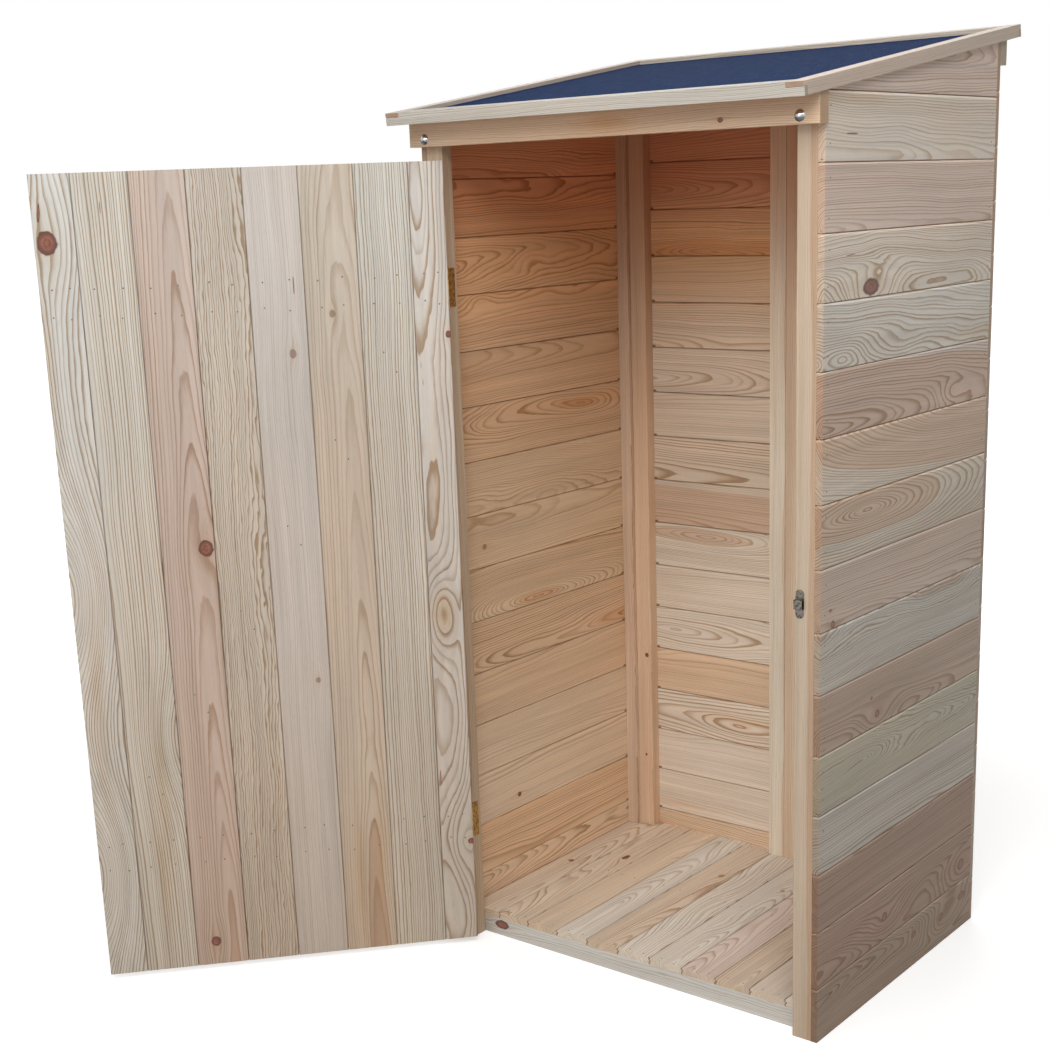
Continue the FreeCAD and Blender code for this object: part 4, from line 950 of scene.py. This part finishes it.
def nail_heads(name, places, normal, radius, body):
    """Small round nail heads, each a low dome let into the wood, facing one way."""
    mesh = bmesh.new()
    normal = Vector(normal).normalized()
    side = normal.orthogonal().normalized()
    other = normal.cross(side)
    for place in places:
        rings = []
        for share, rise in HEAD_RINGS:
            ring = []
            for step in range(HEAD_SIDES):
                turn = 2.0 * math.pi * step / HEAD_SIDES
                offset = side * math.cos(turn) + other * math.sin(turn)
                ring.append(mesh.verts.new(Vector(place) + offset * radius * share + normal * rise))
            rings.append(ring)
        for low, high in zip(rings, rings[1:]):
            for step in range(HEAD_SIDES):
                after = (step + 1) % HEAD_SIDES
                mesh.faces.new((low[step], low[after], high[after], high[step]))
        mesh.faces.new(rings[-1])
    data = bpy.data.meshes.new(name)
    mesh.to_mesh(data)
    mesh.free()
    data.materials.append(NAIL)
    item = new_object(name, data)
    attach(item, body)


WOBBLE_TURN = 12.9898
WOBBLE_SCALE = 43758.5453
# What sets a nail's second offset apart from its first
OTHER_WAY = 0.5


def wobble(number, reach):
    """A small repeatable offset, so that a row of nails isn't ruler-straight."""
    return (math.sin(number * WOBBLE_TURN) * WOBBLE_SCALE % 1.0 - 0.5) * 2.0 * reach


UNEVEN_UP = 0.005
UNEVEN_ALONG = 0.003
SIDE_COLUMNS = (-HALF_DEPTH + 0.015, HALF_DEPTH - WALL - 0.016)
BACK_COLUMNS = (-0.39, 0.0, 0.39)
# A wall's nails: boards, places on a board, start, cover, columns along the wall, steps of the seed, first
# seed, and which way the wall faces
SIDE_NAILS = (15, (0.24, 0.76), SIDE_START, SIDE_COVER, SIDE_COLUMNS, (7, 3, 31))
WALL_NAILS = {
    "right_wall_nails": (*SIDE_NAILS, 5.0, (1, 0, 0)),
    "left_wall_nails": (*SIDE_NAILS, -5.0, (-1, 0, 0)),
    "back_wall_nails": (17, (0.25, 0.75), BACK_START, BACK_COVER, BACK_COLUMNS, (5, 3, 17), 0.0, (0, 1, 0)),
}


def seed_of(steps, *parts):
    """One number from a nail's board, row and place on the board."""
    return sum(step * part for step, part in zip(steps, parts))


def wall_nails(name, count, shares, start, cover, columns, steps, first, facing):
    """Two nails for each board of a wall in each post or batten."""
    places = []
    for course in range(count):
        for share in shares:
            for column, middle in enumerate(columns):
                seed = seed_of(steps, course, share, column) + first
                height = start + (course + share) * cover + wobble(seed, UNEVEN_UP)
                along = middle + wobble(seed + OTHER_WAY, UNEVEN_ALONG)
                spot = (along, HALF_DEPTH) if facing[1] else (facing[0] * HALF_WIDTH, along)
                places.append((*spot, height))
    nail_heads(name, places, facing, WALL_HEAD, "cabinet")


# The door's nails: joints between its boards, rows through the ledges, places across a board, and the rows
# that follow the brace, all in metres from the hinge axis and the ground
DOOR_JOINTS = (0.002, 0.0723, 0.1788, 0.2853, 0.3918, 0.4983, 0.6048, 0.7113, 0.788)
LEDGE_ROWS = (1.383, 1.437, 0.247, 0.303)
NAIL_SHARES = (0.28, 0.72)
BRACE_NEAR = 0.1
BRACE_FAR = 0.7
BRACE_LOW = 0.36
BRACE_HIGH = 1.31
BRACE_STEP = 0.012
BRACE_LIFT = 0.02
UNEVEN_DOOR = 0.004
DOOR_STEPS = (11, 5, 7)
DOOR_OTHER_WAY = 0.3
# How far the hinge leaves cover the door's outer side
LEAF_REACH = 0.03


def door_point(across, deep, height):
    """A place on the door, given from its hinge axis."""
    return HINGE + DOOR_TURN @ Vector((across, deep, height))


def door_nails():
    """Nails through the ledges, the brace and the door boards: clinched points inside, heads outside."""
    places = []
    for board, (near, far) in enumerate(zip(DOOR_JOINTS, DOOR_JOINTS[1:])):
        for row, height in enumerate(LEDGE_ROWS):
            for share in NAIL_SHARES:
                seed = seed_of(DOOR_STEPS, board, row, share)
                across = near + (far - near) * share + wobble(seed, UNEVEN_DOOR)
                places.append((across, height + wobble(seed + DOOR_OTHER_WAY, UNEVEN_DOOR)))
        middle = (near + far) / 2.0
        if BRACE_NEAR < middle < BRACE_FAR:
            fall = (BRACE_FAR - middle) / (BRACE_FAR - BRACE_NEAR)
            height = BRACE_LOW + (BRACE_HIGH - BRACE_LOW) * fall
            places.append((middle + BRACE_STEP, height + BRACE_LIFT))
            places.append((middle - BRACE_STEP, height - BRACE_LIFT))
    facing = DOOR_TURN @ Vector((0.0, 1.0, 0.0))
    points = [door_point(across, DOOR_INNER, height) for across, height in places]
    heads = [door_point(across, DOOR_OUTER, height) for across, height in places if across > LEAF_REACH]
    nail_heads("door_nail_points", points, facing, DOOR_POINT, "door")
    nail_heads("door_nail_heads", heads, -facing, DOOR_HEAD, "door")


# The floor's nails: how far from each end of a board
FLOOR_FRONT = 0.013
FLOOR_REAR = 0.016
UNEVEN_FLOOR = 0.002
FLOOR_STEPS = (13, 7, 3)
FLOOR_OTHER_WAY = 0.4


def floor_nails():
    """Two nails for each floor board in each bearer."""
    places = []
    for number in range(1, len(FLOOR_BOARDS) + 1):
        low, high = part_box("floor_board_%02d" % number)
        rows = (low[1] + FLOOR_FRONT, (low[1] + high[1]) / 2.0, high[1] - FLOOR_REAR)
        for row, y in enumerate(rows):
            for share in NAIL_SHARES:
                seed = seed_of(FLOOR_STEPS, number, row, share)
                x = low[0] + (high[0] - low[0]) * share + wobble(seed, UNEVEN_ALONG)
                places.append((x, y + wobble(seed + FLOOR_OTHER_WAY, UNEVEN_FLOOR), high[2]))
    nail_heads("floor_nails", places, (0.0, 0.0, 1.0), FLOOR_HEAD, "cabinet")


for name, row in WALL_NAILS.items():
    wall_nails(name, *row)
door_nails()
floor_nails()

# Camera of the photograph: focal length and centre in pixels of its 1050 x 1050 frame
FRAME_PIXELS = 1050.0
FOCAL = 1674.7
CENTRE_X = 520.3
CENTRE_Y = 628.0
TURN = math.radians(-39.384)
TILT = math.radians(-14.546)
ROLL = math.radians(-2.102)
CAMERA_PLACE = Vector((1.866, -2.9129, 1.586))
SENSOR_WIDTH = 36.0
NEAREST = 0.05
FARTHEST = 200.0


def add_camera():
    """The photograph's viewpoint."""
    data = bpy.data.cameras.new("camera")
    data.sensor_width = SENSOR_WIDTH
    data.lens = FOCAL / FRAME_PIXELS * SENSOR_WIDTH
    data.shift_x = (FRAME_PIXELS / 2.0 - CENTRE_X) / FRAME_PIXELS
    data.shift_y = (CENTRE_Y - FRAME_PIXELS / 2.0) / FRAME_PIXELS
    data.clip_start = NEAREST
    data.clip_end = FARTHEST
    item = new_object("camera", data)
    ahead = Vector((math.cos(TILT) * math.sin(TURN), math.cos(TILT) * math.cos(TURN), math.sin(TILT)))
    right = ahead.cross(Vector((0.0, 0.0, 1.0))).normalized()
    up = right.cross(ahead)
    across = right * math.cos(ROLL) + up * math.sin(ROLL)
    upward = up * math.cos(ROLL) - right * math.sin(ROLL)
    axes = Matrix((across, upward, -ahead)).transposed().to_4x4()
    item.matrix_world = Matrix.Translation(CAMERA_PLACE) @ axes
    bpy.context.scene.camera = item


def add_lamp(name, place, target, size, power, color):
    """A soft square lamp that looks at a place."""
    data = bpy.data.lights.new(name, "AREA")
    data.shape = "SQUARE"
    data.size = size
    data.energy = power
    data.color = color
    item = new_object(name, data)
    aim = (Vector(target) - Vector(place)).to_track_quat("-Z", "Y")
    item.matrix_world = Matrix.Translation(Vector(place)) @ aim.to_matrix().to_4x4()


def seen_share(net):
    """One for the camera and for what glossy or clear surfaces show, else none."""
    rays = net.node("ShaderNodeLightPath")
    seen = net.math("MAXIMUM", rays.outputs["Is Camera Ray"], rays.outputs["Is Glossy Ray"])
    return net.math("MAXIMUM", seen, rays.outputs["Is Transmission Ray"])


WHITE = (1.0, 1.0, 1.0, 1.0)
WORLD_STRENGTH = 0.22
# The studio floor: its size and paint, and how its glow rises from the cabinet outwards
FLOOR_RADIUS = 60.0
FLOOR_SIDES = 96
FLOOR_PAINT = (0.8, 0.8, 0.79, 1.0)
FLOOR_NEAR = 0.9
FLOOR_FAR = 3.2
FLOOR_GLOW = 0.5


def add_world():
    """An even pale sky, white where it is seen."""
    world = bpy.data.worlds.new("studio")
    world.use_nodes = True
    bpy.context.scene.world = world
    net = Net(world.node_tree)
    background = world.node_tree.nodes["Background"]
    background.inputs["Color"].default_value = WHITE
    net.put(background.inputs["Strength"], net.ease(seen_share(net), 0.0, 1.0, WORLD_STRENGTH, 1.0))


def add_floor():
    """A wide pale floor that keeps the cabinet's shadow."""
    mesh = bmesh.new()
    bmesh.ops.create_circle(mesh, cap_ends=True, segments=FLOOR_SIDES, radius=FLOOR_RADIUS)
    data = bpy.data.meshes.new("studio_floor")
    mesh.to_mesh(data)
    mesh.free()
    item = new_object("studio_floor", data)
    material, net, shader = new_material("studio_floor_paint")
    x, y = net.split(object_place(net)[0])[:2]
    far = net.ease(net.length(x, y), FLOOR_NEAR, FLOOR_FAR, FLOOR_GLOW, 1.0)
    net.fill(shader, {"Base Color": FLOOR_PAINT, "Roughness": 0.9, "Specular IOR Level": 0.0,
                      "Emission Color": WHITE, "Emission Strength": net.mul(seen_share(net), far)})
    data.materials.append(material)


# Lamps: place, target, size (m), power (W) and colour
LAMPS = {
    "key": ((1.5, -2.5, 3.5), (0.0, -0.2, 0.7), 2.0, 84.0, (1.0, 1.0, 1.0)),
    "front": ((-0.4, -4.2, 2.3), (0.0, 0.0, 0.7), 2.6, 48.0, (1.0, 1.0, 1.0)),
    "rear": ((-2.0, 3.6, 3.4), (0.0, 0.0, 0.9), 3.0, 80.0, (1.0, 0.99, 0.98)),
}

add_camera()
for name, row in LAMPS.items():
    add_lamp(name, *row)
add_world()
add_floor()
bpy.context.scene.view_settings.view_transform = "Standard"
